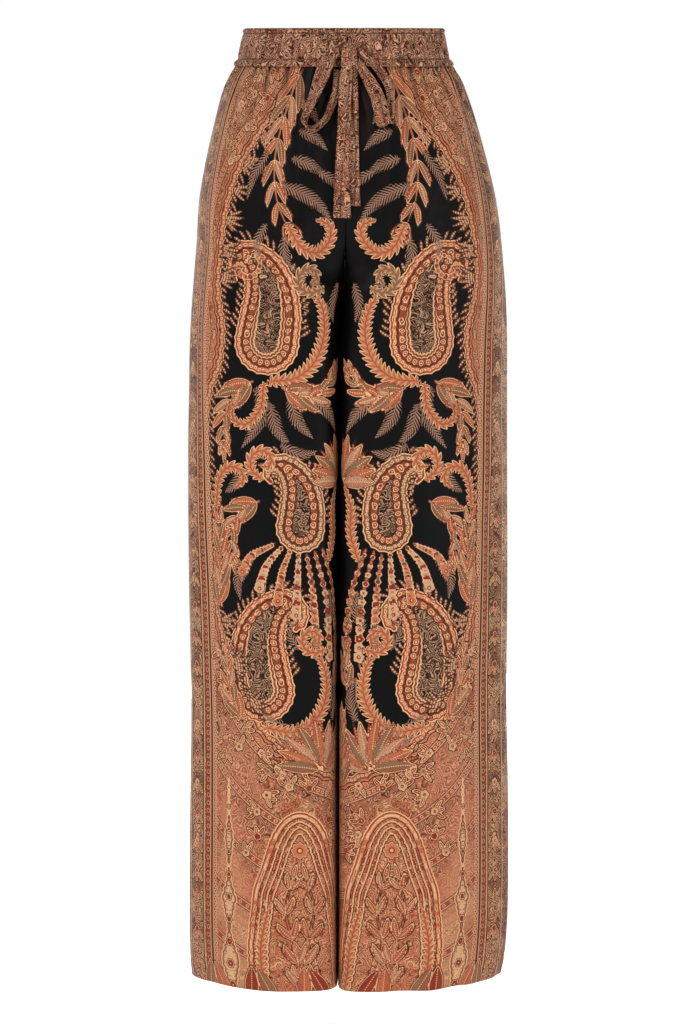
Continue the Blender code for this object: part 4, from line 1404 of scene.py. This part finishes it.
def border_colour(maker, tone, masks, place, side, v):
    """The border along the side seam, in lighter and darker lengths between narrow lines."""
    lengths = noise(maker, place, 42.0, 0.0).over(0.5, 0.03)
    warm = dict(olive="rust", beige="blush", brown="dark")
    red = filler(masks, swapped(tone, **warm, terracotta="rust", coral="wine"), 0.1)
    plain = filler(masks, swapped(tone, **warm, coral="beige", wine="rust"), 0.25)
    return paint(
        tone,
        lengths.mix(red, plain),
        ((1 - lengths) * 0.35, "dark"),
        (side.pair(18.0, 47.0, 0.8), "cream"),
        (side.pair(19.8, 45.2, 0.8), "dark"),
        (side.over(49.0), (masks["fleck"] * 0.6).mix(tone["rust"], tone["dark"])),
        (v.dots(9.0, side - 53.6).within(5.5, 2.2, 2.0), "beige"),
        (side.pair(57.6, 62.6, 0.7), "cream"),
        (side.within(60.0, 1.1), "dark"),
        (side.over(63.4), "terracotta"),
        (side.over(20.0, 8.0) * 0.24, "brown"),
    )


def small_colour(maker, tone, masks):
    """The small motifs. It gives their mask, their colour and the mask of a line round them."""
    (out, along, off), _ = vector_of(maker, "small_place")
    (half, kind, tint), _ = vector_of(maker, "small_kind")
    depth, wide = -out, abs(off)
    across = wide / half
    fill = stepped(tone, tint, TINTS)
    shaded = off.over(0.0, 0.5)
    is_fern, is_frond = (kind.within(float(number), 0.5, 0.1) for number in (FERN, FROND))
    # Leaves, with a rim, veins and a row of dots.
    leaf = paint(
        tone,
        fill,
        (shaded * 0.35, "rust"),
        ((along - wide * 1.3).wave(2.7).within(0.0, 0.35) * 0.5, "brown"),
        (masks["fleck"] * 0.4, "wine"),
        (off.within(0.0, 0.55).both(along.wave(2.6).within(0.0, 0.75, 0.4)), "cream"),
        (depth.within(1.1, 0.30), "wine"),
        (depth.under(0.7), "cream"),
    )
    # Beaded leaves.
    pale = tint.within(float(BEIGE), 0.5, 0.1)
    bead = pale.mix(tone["coral"], tone["beige"])
    beaded = along.dots(3.3, off).under(1.3, 0.9).mix(pale.mix(tone["wine"], tone["brown"]), bead)

    # Fronds and ferns, which are rows of leaflets with gaps between them.
    def leaflets(pitch, slope, spread):
        """The distance inside the nearest leaflet's edge, and the distance from its middle line."""
        slant = abs((along - wide * slope + shaded * (pitch / 2)).wave(pitch))
        return (1.16 - across * across * spread) * (pitch / 2) - slant, slant

    inner, slant = leaflets(7.2, 0.85, 1.0)
    frond = paint(
        tone,
        fill,
        (slant.under(0.45, 0.4) * 0.7, "wine"),
        (masks["fleck"] * 0.35, "rust"),
        (inner.under(1.15), "cream"),
        (slant.over(3.35, 0.3), "dark"),
        (wide.under(0.5), "rust"),
    )
    frond_gap = is_frond * inner.under(0.0, 0.3)
    inner, slant = leaflets(4.0, 1.1, 0.85)
    fern = (slant.under(0.5, 0.5) * 0.6).mix(tone["mauve"], tone["beige"])
    gap = (is_fern * inner.under(0.85, 0.4)).either(frond_gap) * wide.over(0.5)
    flower = paint(
        tone,
        fill,
        (across.under(0.42, 0.08), "wine"),
        (across.under(0.24, 0.06), "cream"),
        (depth.under(0.8), "cream"),
    )
    colour = stepped(tone, kind, (leaf, beaded, frond, fern, flower, "terracotta"))
    outline = out.under(1.0) * (1 - is_fern) * (1 - is_frond) * 0.9
    return depth.over(0.0) * (1 - gap), colour, outline


def print_material(cloth):
    """The printed cloth of the panels, from the places and distances on their points."""
    material, shader, maker = start_material("printed_cloth")
    tone = colours_of(cloth)
    (x, v, painted_shade), place = vector_of(maker, "cloth_place")
    field, _ = vector_of(maker, "field_edge")
    (inside, _, _), _ = vector_of(maker, "cloth_face")
    masks = filler_masks(maker, place, 6.0)
    pale = dict(terracotta="coral", brown="rust", coral="blush", wine="terracotta", dark="brown")
    light = filler(masks, swapped(tone, **pale), 0.1)
    low = v.over(860.0, 150.0)  # 0 over most of the leg and 1 near the hem
    drift = noise(maker, place, 95.0, 1.0, 0.4)  # slow changes of the ornament's colour
    side = PLAIN_WIDTH * MM - x
    edge_dot = v.dots(6.0, side - 66.6)
    small, colour, outline = small_colour(maker, tone, masks)
    inner_face = (-field[0]).over(0.0).mix(srgb(44, 36, 33), srgb(136, 100, 80))
    ground = paint(
        tone,
        ornament_colour(tone, masks, x, v, field, low, drift, light),
        large_colour(maker, tone, masks, drift, light),
        (side.under(66.0), border_colour(maker, tone, masks, place, side, v)),
        (edge_dot.under(6.5, 2.0), "beige"),
        (edge_dot.under(1.2, 1.0), "wine"),
        (outline, "dark"),
        (small, colour),
        (low * 0.13, "rust"),
        # Painted shade in the gathers' hollows, and a painted shadow under the waistband.
        (painted_shade * 0.68, "dark"),  # less light comes into the gathers
        (inside.over(0.5, 0.1), inner_face),  # where the print shows through weakly
    )
    worn = noise(maker, place, 60.0, 2.0) * 0.16 + noise(maker, place, 1.4, 1.0) * 0.44 + 0.72
    finish_cloth(maker, shader, place, shaded_by(maker, ground, worn), 0.35, 0.9, cloth.roughness - 0.08)
    return material


def shaded_by(maker, colour, value):
    """A colour made darker or lighter."""
    node = maker.node("ShaderNodeHueSaturation", {"Value": value, "Color": colour})
    return node.outputs[0]


def finish_cloth(maker, shader, place, colour, bump, grain, rough):
    """Links a cloth's colour to the shader, with the grain of a washed silky cloth as a bump."""
    maker.tree.links.new(colour, shader.inputs["Base Color"])
    fine, soft = noise(maker, place, grain), noise(maker, place, grain * 9)
    inputs = {"Strength": bump, "Distance": 0.0003, "Height": fine + soft * 0.6}
    maker.tree.links.new(maker.node("ShaderNodeBump", inputs).outputs[0], shader.inputs["Normal"])
    maker.tree.links.new((soft * 0.16 + rough).socket, shader.inputs["Roughness"])
    shader.inputs["Specular IOR Level"].default_value = 0.10


def small_print_material(name, cloth, ground, size, slit=False):
    """The smaller, denser print of the waistband and the tie, with painted shade in their hollows,
    pleats and stitched grooves.
    """
    material, shader, maker = start_material(name)
    (_, _, painted_shade), place = vector_of(maker, "cloth_place")
    masks = filler_masks(maker, place, size)
    tone = colours_of(cloth)
    plain = {**tone, "terracotta": ground, "coral": srgb(112, 66, 50), "cream": srgb(206, 156, 124)}
    dark = swapped(plain, terracotta="rust", coral="brown", brown="dark")
    lengths = noise(maker, place, 26.0, 1.0).over(0.5, 0.08)
    colour = lengths.mix(filler(masks, plain, 0.25), filler(masks, dark))
    grain = noise(maker, place, 1.2, 1.0) * 0.5 + 0.72
    colour = shaded_by(maker, colour, grain)
    if slit:
        points = maker.node("ShaderNodeTexCoord")
        parts = maker.node("ShaderNodeSeparateXYZ", {0: points.outputs["Object"]})
        x, y, z = (Value(maker.tree, socket) for socket in parts.outputs)
        # The slit is painted, not cut: a near-black patch stands in for the shade inside its opening.
        hole_x, foot, top = SLIT
        hole = abs(x - hole_x) * 4.2 + abs(z - (foot + top) / 2)
        hole = hole.under((top - foot) / 2, 0.0010) * y.under(0.0, 0.001)
        # Dark lines painted along the two stitched lines: painted shade in the grooves that they pull
        # in.
        lines = [(z.within(line, 0.0007, 0.0008) * 0.7, "dark") for line in (HEADER_STITCH, SEAM_STITCH)]
        colour = paint(
            tone,
            colour,
            *lines,
            # Painted shade in the ruching's hollows, and the band's inside face (marked 1) in its own
            # duller colour.
            (painted_shade.under(0.5, 0.1) * painted_shade * 1.2, "dark"),
            (painted_shade.over(0.5, 0.1) * 0.7, srgb(120, 84, 68)),
            (hole, srgb(14, 9, 8)),
        )
    else:
        # The tie darkened by painted shade in its pleat and along its edges.
        colour = (painted_shade * 0.75).mix(colour, tone["dark"])
    finish_cloth(maker, shader, place, colour, 0.4, 0.8, cloth.roughness - 0.04)
    return material


def thread_material(colour):
    """Twisted sewing thread."""
    material, shader, maker = start_material("sewing_thread")
    points = maker.node("ShaderNodeTexCoord")
    twist = noise(maker, points.outputs["Object"], 0.0004, 1.0)
    shade = twist.mix(tuple(0.6 * value for value in colour), tuple(colour))
    maker.tree.links.new(shade, shader.inputs["Base Color"])
    shader.inputs["Roughness"].default_value = 0.6
    return material


def studio_material(shade, glow):
    """A white floor and backdrop that glow a little, as when they have lamps of their own."""
    material, shader, _ = start_material("studio_floor")
    shader.inputs["Base Color"].default_value = (shade, shade, shade, 1)
    shader.inputs["Emission Color"].default_value = (1, 1, 1, 1)
    shader.inputs["Emission Strength"].default_value = glow
    shader.inputs["Roughness"].default_value = 0.9
    shader.inputs["Specular IOR Level"].default_value = 0.1
    return material


# ------------------------------------------------------------------------------ geometry nodes


def stitch_tree(material):
    """Short stitches laid end to end along a line of edges."""
    tree = bpy.data.node_groups.new("stitches", "GeometryNodeTree")
    face = tree.interface
    face.new_socket("Geometry", in_out="OUTPUT", socket_type="NodeSocketGeometry")
    face.new_socket("Geometry", in_out="INPUT", socket_type="NodeSocketGeometry")
    sockets = {}
    for name, default in (("Spacing", 0.0032), ("Length", 0.0024), ("Thickness", 0.0005)):
        socket = face.new_socket(name, in_out="INPUT", socket_type="NodeSocketFloat")
        socket.default_value = default
        sockets[name] = socket.identifier
    nodes, links = tree.nodes, tree.links
    start, end = nodes.new("NodeGroupInput"), nodes.new("NodeGroupOutput")
    line = nodes.new("GeometryNodeMeshToCurve")
    points = nodes.new("GeometryNodeCurveToPoints")
    points.mode = "LENGTH"
    thread = nodes.new("GeometryNodeMeshIcoSphere")
    thread.inputs["Radius"].default_value = 0.5
    size = nodes.new("ShaderNodeCombineXYZ")
    place = nodes.new("GeometryNodeInstanceOnPoints")
    real = nodes.new("GeometryNodeRealizeInstances")
    paint = nodes.new("GeometryNodeSetMaterial")
    paint.inputs["Material"].default_value = material
    for source, target in (
        (start.outputs["Geometry"], line.inputs["Mesh"]),
        (line.outputs["Curve"], points.inputs["Curve"]),
        (start.outputs["Spacing"], points.inputs["Length"]),
        (points.outputs["Points"], place.inputs["Points"]),
        (points.outputs["Rotation"], place.inputs["Rotation"]),
        (thread.outputs["Mesh"], place.inputs["Instance"]),
        (start.outputs["Thickness"], size.inputs["X"]),
        (start.outputs["Thickness"], size.inputs["Y"]),
        (start.outputs["Length"], size.inputs["Z"]),
        (size.outputs["Vector"], place.inputs["Scale"]),
        (place.outputs["Instances"], real.inputs["Geometry"]),
        (real.outputs["Geometry"], paint.inputs["Geometry"]),
        (paint.outputs["Geometry"], end.inputs["Geometry"]),
    ):
        links.new(source, target)
    return tree, sockets


def make_stitches(name, lines, stitch, tree, sockets):
    """One piece of sewing along several lines of points."""
    points, edges = [], []
    for line in lines:
        start = len(points)
        points.extend(map(tuple, line))
        edges.extend((start + k, start + k + 1) for k in range(len(line) - 1))
    mesh = bpy.data.meshes.new(name)
    mesh.from_pydata(points, edges, [])
    guide = bpy.data.objects.new(f"{name}_line", mesh)
    bpy.context.scene.collection.objects.link(guide)
    modifier = guide.modifiers.new("Stitches", "NODES")
    modifier.node_group = tree
    modifier[sockets["Spacing"]] = stitch.spacing
    modifier[sockets["Length"]] = stitch.length
    modifier[sockets["Thickness"]] = stitch.thickness
    graph = bpy.context.evaluated_depsgraph_get()
    sewn = bpy.data.meshes.new_from_object(guide.evaluated_get(graph))
    bpy.data.objects.remove(guide)
    sewn.shade_smooth()
    piece = bpy.data.objects.new(name, sewn)
    bpy.context.scene.collection.objects.link(piece)
    return piece


# ----------------------------------------------------------------------------------- settings


def tone(name, description, value):
    return FloatVectorProperty(
        name=name, description=description, subtype="COLOR", size=3, min=0, max=1, default=srgb(*value)
    )


def size(name, description, value):
    return FloatProperty(name=name, description=description, default=value, unit="LENGTH")


def number(name, description, value):
    return FloatProperty(name=name, description=description, default=value)


class TrousersClothSettings(bpy.types.PropertyGroup):
    """Sizes and colours of the printed cloth."""

    thickness: size("Thickness", "Thickness of the cloth", 0.0009)
    gather_depth: size("Gather depth", "Depth of the gathers at the band", 0.0026)
    crease_depth: size("Crease depth", "Height of the small creases", 0.0011)
    seam_dip: size("Seam dip", "How far the cloth dips at a seam", 0.0009)
    roughness: number("Roughness", "Of the cloth", 0.50)
    black: tone("Black", "The black field", (9, 8, 8))
    terracotta: tone("Terracotta", "The ground of the ornament", (156, 88, 62))
    coral: tone("Coral", "Light lines and leaves", (178, 104, 72))
    cream: tone("Cream", "Rims and beads", (206, 160, 118))
    brown: tone("Brown", "Scrolls", (100, 56, 38))
    dark: tone("Dark brown", "Thin dark lines", (48, 25, 20))
    wine: tone("Wine", "Beaded leaves and flowers", (122, 44, 30))
    blush: tone("Blush", "Pinker parts of the ornament", (182, 106, 84))
    rust: tone("Rust", "Deeper parts of the ornament", (138, 64, 42))
    olive: tone("Olive", "Some of the leaves", (122, 102, 76))
    beige: tone("Beige", "Some of the leaves", (184, 140, 108))
    mauve: tone("Mauve", "The fine ferns", (108, 78, 68))


class TrousersWaistSettings(bpy.types.PropertyGroup):
    """Sizes of the waistband."""

    thickness: size("Thickness", "Of the casing and its elastic", 0.0015)
    gather_depth: size("Gather depth", "Depth of the gathers over the elastic", 0.0011)
    ground: tone("Ground", "The ground of the waistband's print", (140, 86, 66))


class TrousersTieSettings(bpy.types.PropertyGroup):
    """Sizes of the drawstring."""

    thickness: size("Thickness", "Of the flat tube", 0.0019)
    crease_depth: size("Crease depth", "Height of its lengthwise creases", 0.0014)
    pleat: size("Pleat", "Height of the fold along its middle", 0.0024)
    ground: tone("Ground", "The ground of the tie's print", (120, 70, 52))


class TrousersStitchSettings(bpy.types.PropertyGroup):
    """Sizes of the sewing."""

    spacing: size("Spacing", "Between stitches", 0.0030)
    length: size("Length", "Of a stitch", 0.0023)
    thickness: size("Thickness", "Of the thread", 0.00045)
    thread: tone("Thread", "Colour of the thread", (122, 78, 58))


class TrousersStageSettings(bpy.types.PropertyGroup):
    """The studio."""

    distance: size("Distance", "From the camera to the trousers", 4.2)
    aim: size("Aim", "Height that the camera looks at", -0.524)
    aside: size("Aside", "The camera's x", -0.0051)
    lens: number("Lens", "Focal length in millimetres", 130.96)
    floor: size("Floor", "Height of the floor", -1.13)
    floor_radius: size("Floor radius", "Of the floor that shows", 2.5)
    room: size("Room", "Radius and half height of the white room round it all", 20.0)
    light: number("Light", "Strength of the main lamp, in watts", 84.0)
    glow: number("Glow", "Of the floor and backdrop", 0.62)
    fill: number("Fill", "Strength of the light all round", 0.34)


SETTINGS = {
    "trousers_cloth": TrousersClothSettings,
    "trousers_waist": TrousersWaistSettings,
    "trousers_tie": TrousersTieSettings,
    "trousers_stitch": TrousersStitchSettings,
    "trousers_stage": TrousersStageSettings,
}
PANELS = {"front_left": (1, -1), "front_right": (-1, -1), "back_left": (1, 1), "back_right": (-1, 1)}


# ---------------------------------------------------------------------------------- operators


class TROUSERS_OT_stage(bpy.types.Operator):
    """Makes the camera, the lamps, the floor and the backdrop"""

    bl_idname = "trousers.stage"
    bl_label = "Stage"

    def execute(self, context):
        stage, scene = context.scene.trousers_stage, context.scene
        camera = bpy.data.cameras.new("camera")
        camera.sensor_fit, camera.sensor_height, camera.lens = "VERTICAL", 36, stage.lens
        view = bpy.data.objects.new("camera", camera)
        tilt = math.atan2(-stage.aim, stage.distance)
        view.location = (stage.aside, -stage.distance, 0)
        view.rotation_euler = (math.pi / 2 - tilt, 0, 0)
        scene.collection.objects.link(view)
        scene.camera = view
        scene.view_settings.view_transform = "Standard"
        world = bpy.data.worlds.new("studio")
        world.use_nodes = True
        world.node_tree.nodes["Background"].inputs["Color"].default_value = (1, 1, 1, 1)
        world.node_tree.nodes["Background"].inputs["Strength"].default_value = stage.fill
        scene.world = world
        lamps = (("key", (-2.0, -3.0, 1.8), 1.5, 1.0), ("side", (2.4, -2.6, 0.2), 1.6, 0.40))
        for name, place, size, share in lamps:
            lamp = bpy.data.lights.new(name, "AREA")
            lamp.energy, lamp.size = stage.light * share, size
            thing = bpy.data.objects.new(name, lamp)
            thing.location = place
            aim = Vector((0, 0, -0.5)) - Vector(place)
            thing.rotation_euler = aim.to_track_quat("-Z", "Y").to_euler()
            thing.visible_camera = False
            scene.collection.objects.link(thing)
        white = studio_material(0.93, stage.glow)
        turn = np.linspace(0, math.pi / 2, 13)[1:]
        profile = [(-6.0, stage.floor), (2.2, stage.floor)]
        profile += [(2.2 + 0.8 * math.sin(t), stage.floor + 0.8 * (1 - math.cos(t))) for t in turn]
        profile += [(3.0, 4.0)]
        points = [(x, y, z) for y, z in profile for x in (-6.0, 6.0)]
        faces = [(2 * k, 2 * k + 1, 2 * k + 3, 2 * k + 2) for k in range(len(profile) - 1)]
        backdrop = new_piece("studio_backdrop", points, faces, white)
        backdrop.visible_camera = False  # it lights the trousers, and no view is blocked by it
        count = 64  # points round the floor and the room
        turns = np.linspace(0, 2 * math.pi, count, endpoint=False)

        def ring(radius, z):
            return [(radius * math.cos(t), radius * math.sin(t), z) for t in turns]

        lid = tuple(range(count))
        floor = new_piece("studio_floor", ring(stage.floor_radius, stage.floor + 0.001), [lid], white)
        sides = [(k, (k + 1) % count, count + (k + 1) % count, count + k) for k in range(count)]
        lids = [lid[::-1], tuple(count + k for k in lid)]
        points = ring(stage.room, -stage.room) + ring(stage.room, stage.room)
        room = new_piece("studio_room", points, sides + lids, studio_material(0.0, 1.0))
        for kind in ("diffuse", "glossy", "transmission", "volume_scatter", "shadow"):
            setattr(room, "visible_" + kind, False)  # only the camera sees it, as plain white
        return {"FINISHED"}


class TROUSERS_OT_panels(bpy.types.Operator):
    """Makes the two fronts and the two backs, with their gathers, folds, hems and print"""

    bl_idname = "trousers.panels"
    bl_label = "Fronts and backs"

    def execute(self, context):
        cloth = context.scene.trousers_cloth
        material = print_material(cloth)
        for name, (side, face) in PANELS.items():
            panel = make_panel(name, side, face, cloth, material)
            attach(panel, "root")
            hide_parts(name)
        return {"FINISHED"}


class TROUSERS_OT_waistband(bpy.types.Operator):
    """Makes the gathered waistband with its stitched header"""

    bl_idname = "trousers.waistband"
    bl_label = "Waistband"

    def execute(self, context):
        scene = context.scene
        ground = tuple(scene.trousers_waist.ground)
        material = small_print_material("band_cloth", scene.trousers_cloth, ground, 5.6, slit=True)
        band = make_waistband(scene.trousers_waist, material)
        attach(band, "root")
        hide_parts("waistband")
        return {"FINISHED"}


class TROUSERS_OT_tie(bpy.types.Operator):
    """Makes the drawstring's knot, loops and tails"""

    bl_idname = "trousers.tie"
    bl_label = "Drawstring"

    def execute(self, context):
        scene = context.scene
        tie = scene.trousers_tie
        material = small_print_material("tie_cloth", scene.trousers_cloth, tuple(tie.ground), 5.0)
        for name in TIE_STRIPS:
            strip, middles = make_tie_strip(name, tie, material)
            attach(strip, "root")
            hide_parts(name)
        knot = make_knot(tie, material)
        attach(knot, "root")
        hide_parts("tie_knot")
        return {"FINISHED"}


class TROUSERS_OT_stitching(bpy.types.Operator):
    """Sews the lines of stitches along the waistband and the hems"""

    bl_idname = "trousers.stitching"
    bl_label = "Stitching"

    def execute(self, context):
        stitch = context.scene.trousers_stitch
        tree, sockets = stitch_tree(thread_material(tuple(stitch.thread)))
        band = grid_of(bpy.data.objects["cloth_waistband"], BAND_LINES + 1, BAND_COLUMNS)
        lines = []
        for height in (HEADER_STITCH, SEAM_STITCH):
            row = int(np.argmin(np.abs(band[:, 0, 2] - height)))
            line = band[row] * (1.0012, 1.0012, 1)
            lines.append(np.vstack([line, line[:1]]))
        hems = []
        for name in PANELS:
            grid = grid_of(bpy.data.objects[f"cloth_{name}"], PANEL_ROWS + 1, PANEL_COLUMNS + 1)
            row = int(np.argmin(np.abs(grid[:, 0, 2] - HEM - HEM_TURN)))
            normals = normals_of(grid[row - 1 : row + 2])[1] * -PANELS[name][0] * PANELS[name][1]
            hems.append((grid[row] + normals * 0.0001)[2:-2])
        for name, runs in (("stitches_waistband", lines), ("stitches_hem", hems)):
            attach(make_stitches(name, runs, stitch, tree, sockets), "root")
        return {"FINISHED"}


class TROUSERS_PT_panel(bpy.types.Panel):
    """Lists the trousers' settings and pieces"""

    bl_label = "Drawstring trousers"
    bl_idname = "TROUSERS_PT_panel"
    bl_space_type = "VIEW_3D"
    bl_region_type = "UI"
    bl_category = "Trousers"

    def draw(self, context):
        for operator in OPERATORS:
            self.layout.operator(operator.bl_idname)
        for name, group in SETTINGS.items():
            box = self.layout.box()
            settings = getattr(context.scene, name)
            for field in group.__annotations__:
                box.prop(settings, field)


OPERATORS = (
    TROUSERS_OT_stage,
    TROUSERS_OT_tie,
    TROUSERS_OT_waistband,
    TROUSERS_OT_panels,
    TROUSERS_OT_stitching,
)


def register():
    for group in (*SETTINGS.values(), *OPERATORS, TROUSERS_PT_panel):
        bpy.utils.register_class(group)
    for name, group in SETTINGS.items():
        setattr(bpy.types.Scene, name, PointerProperty(type=group))


def unregister():
    for name in SETTINGS:
        delattr(bpy.types.Scene, name)
    for group in reversed((*SETTINGS.values(), *OPERATORS, TROUSERS_PT_panel)):
        bpy.utils.unregister_class(group)


def main():
    register()
    bpy.ops.trousers.stage()
    bpy.ops.trousers.waistband()
    bpy.ops.trousers.tie()
    bpy.ops.trousers.panels()
    bpy.ops.trousers.stitching()


if __name__ == "__main__":
    main()
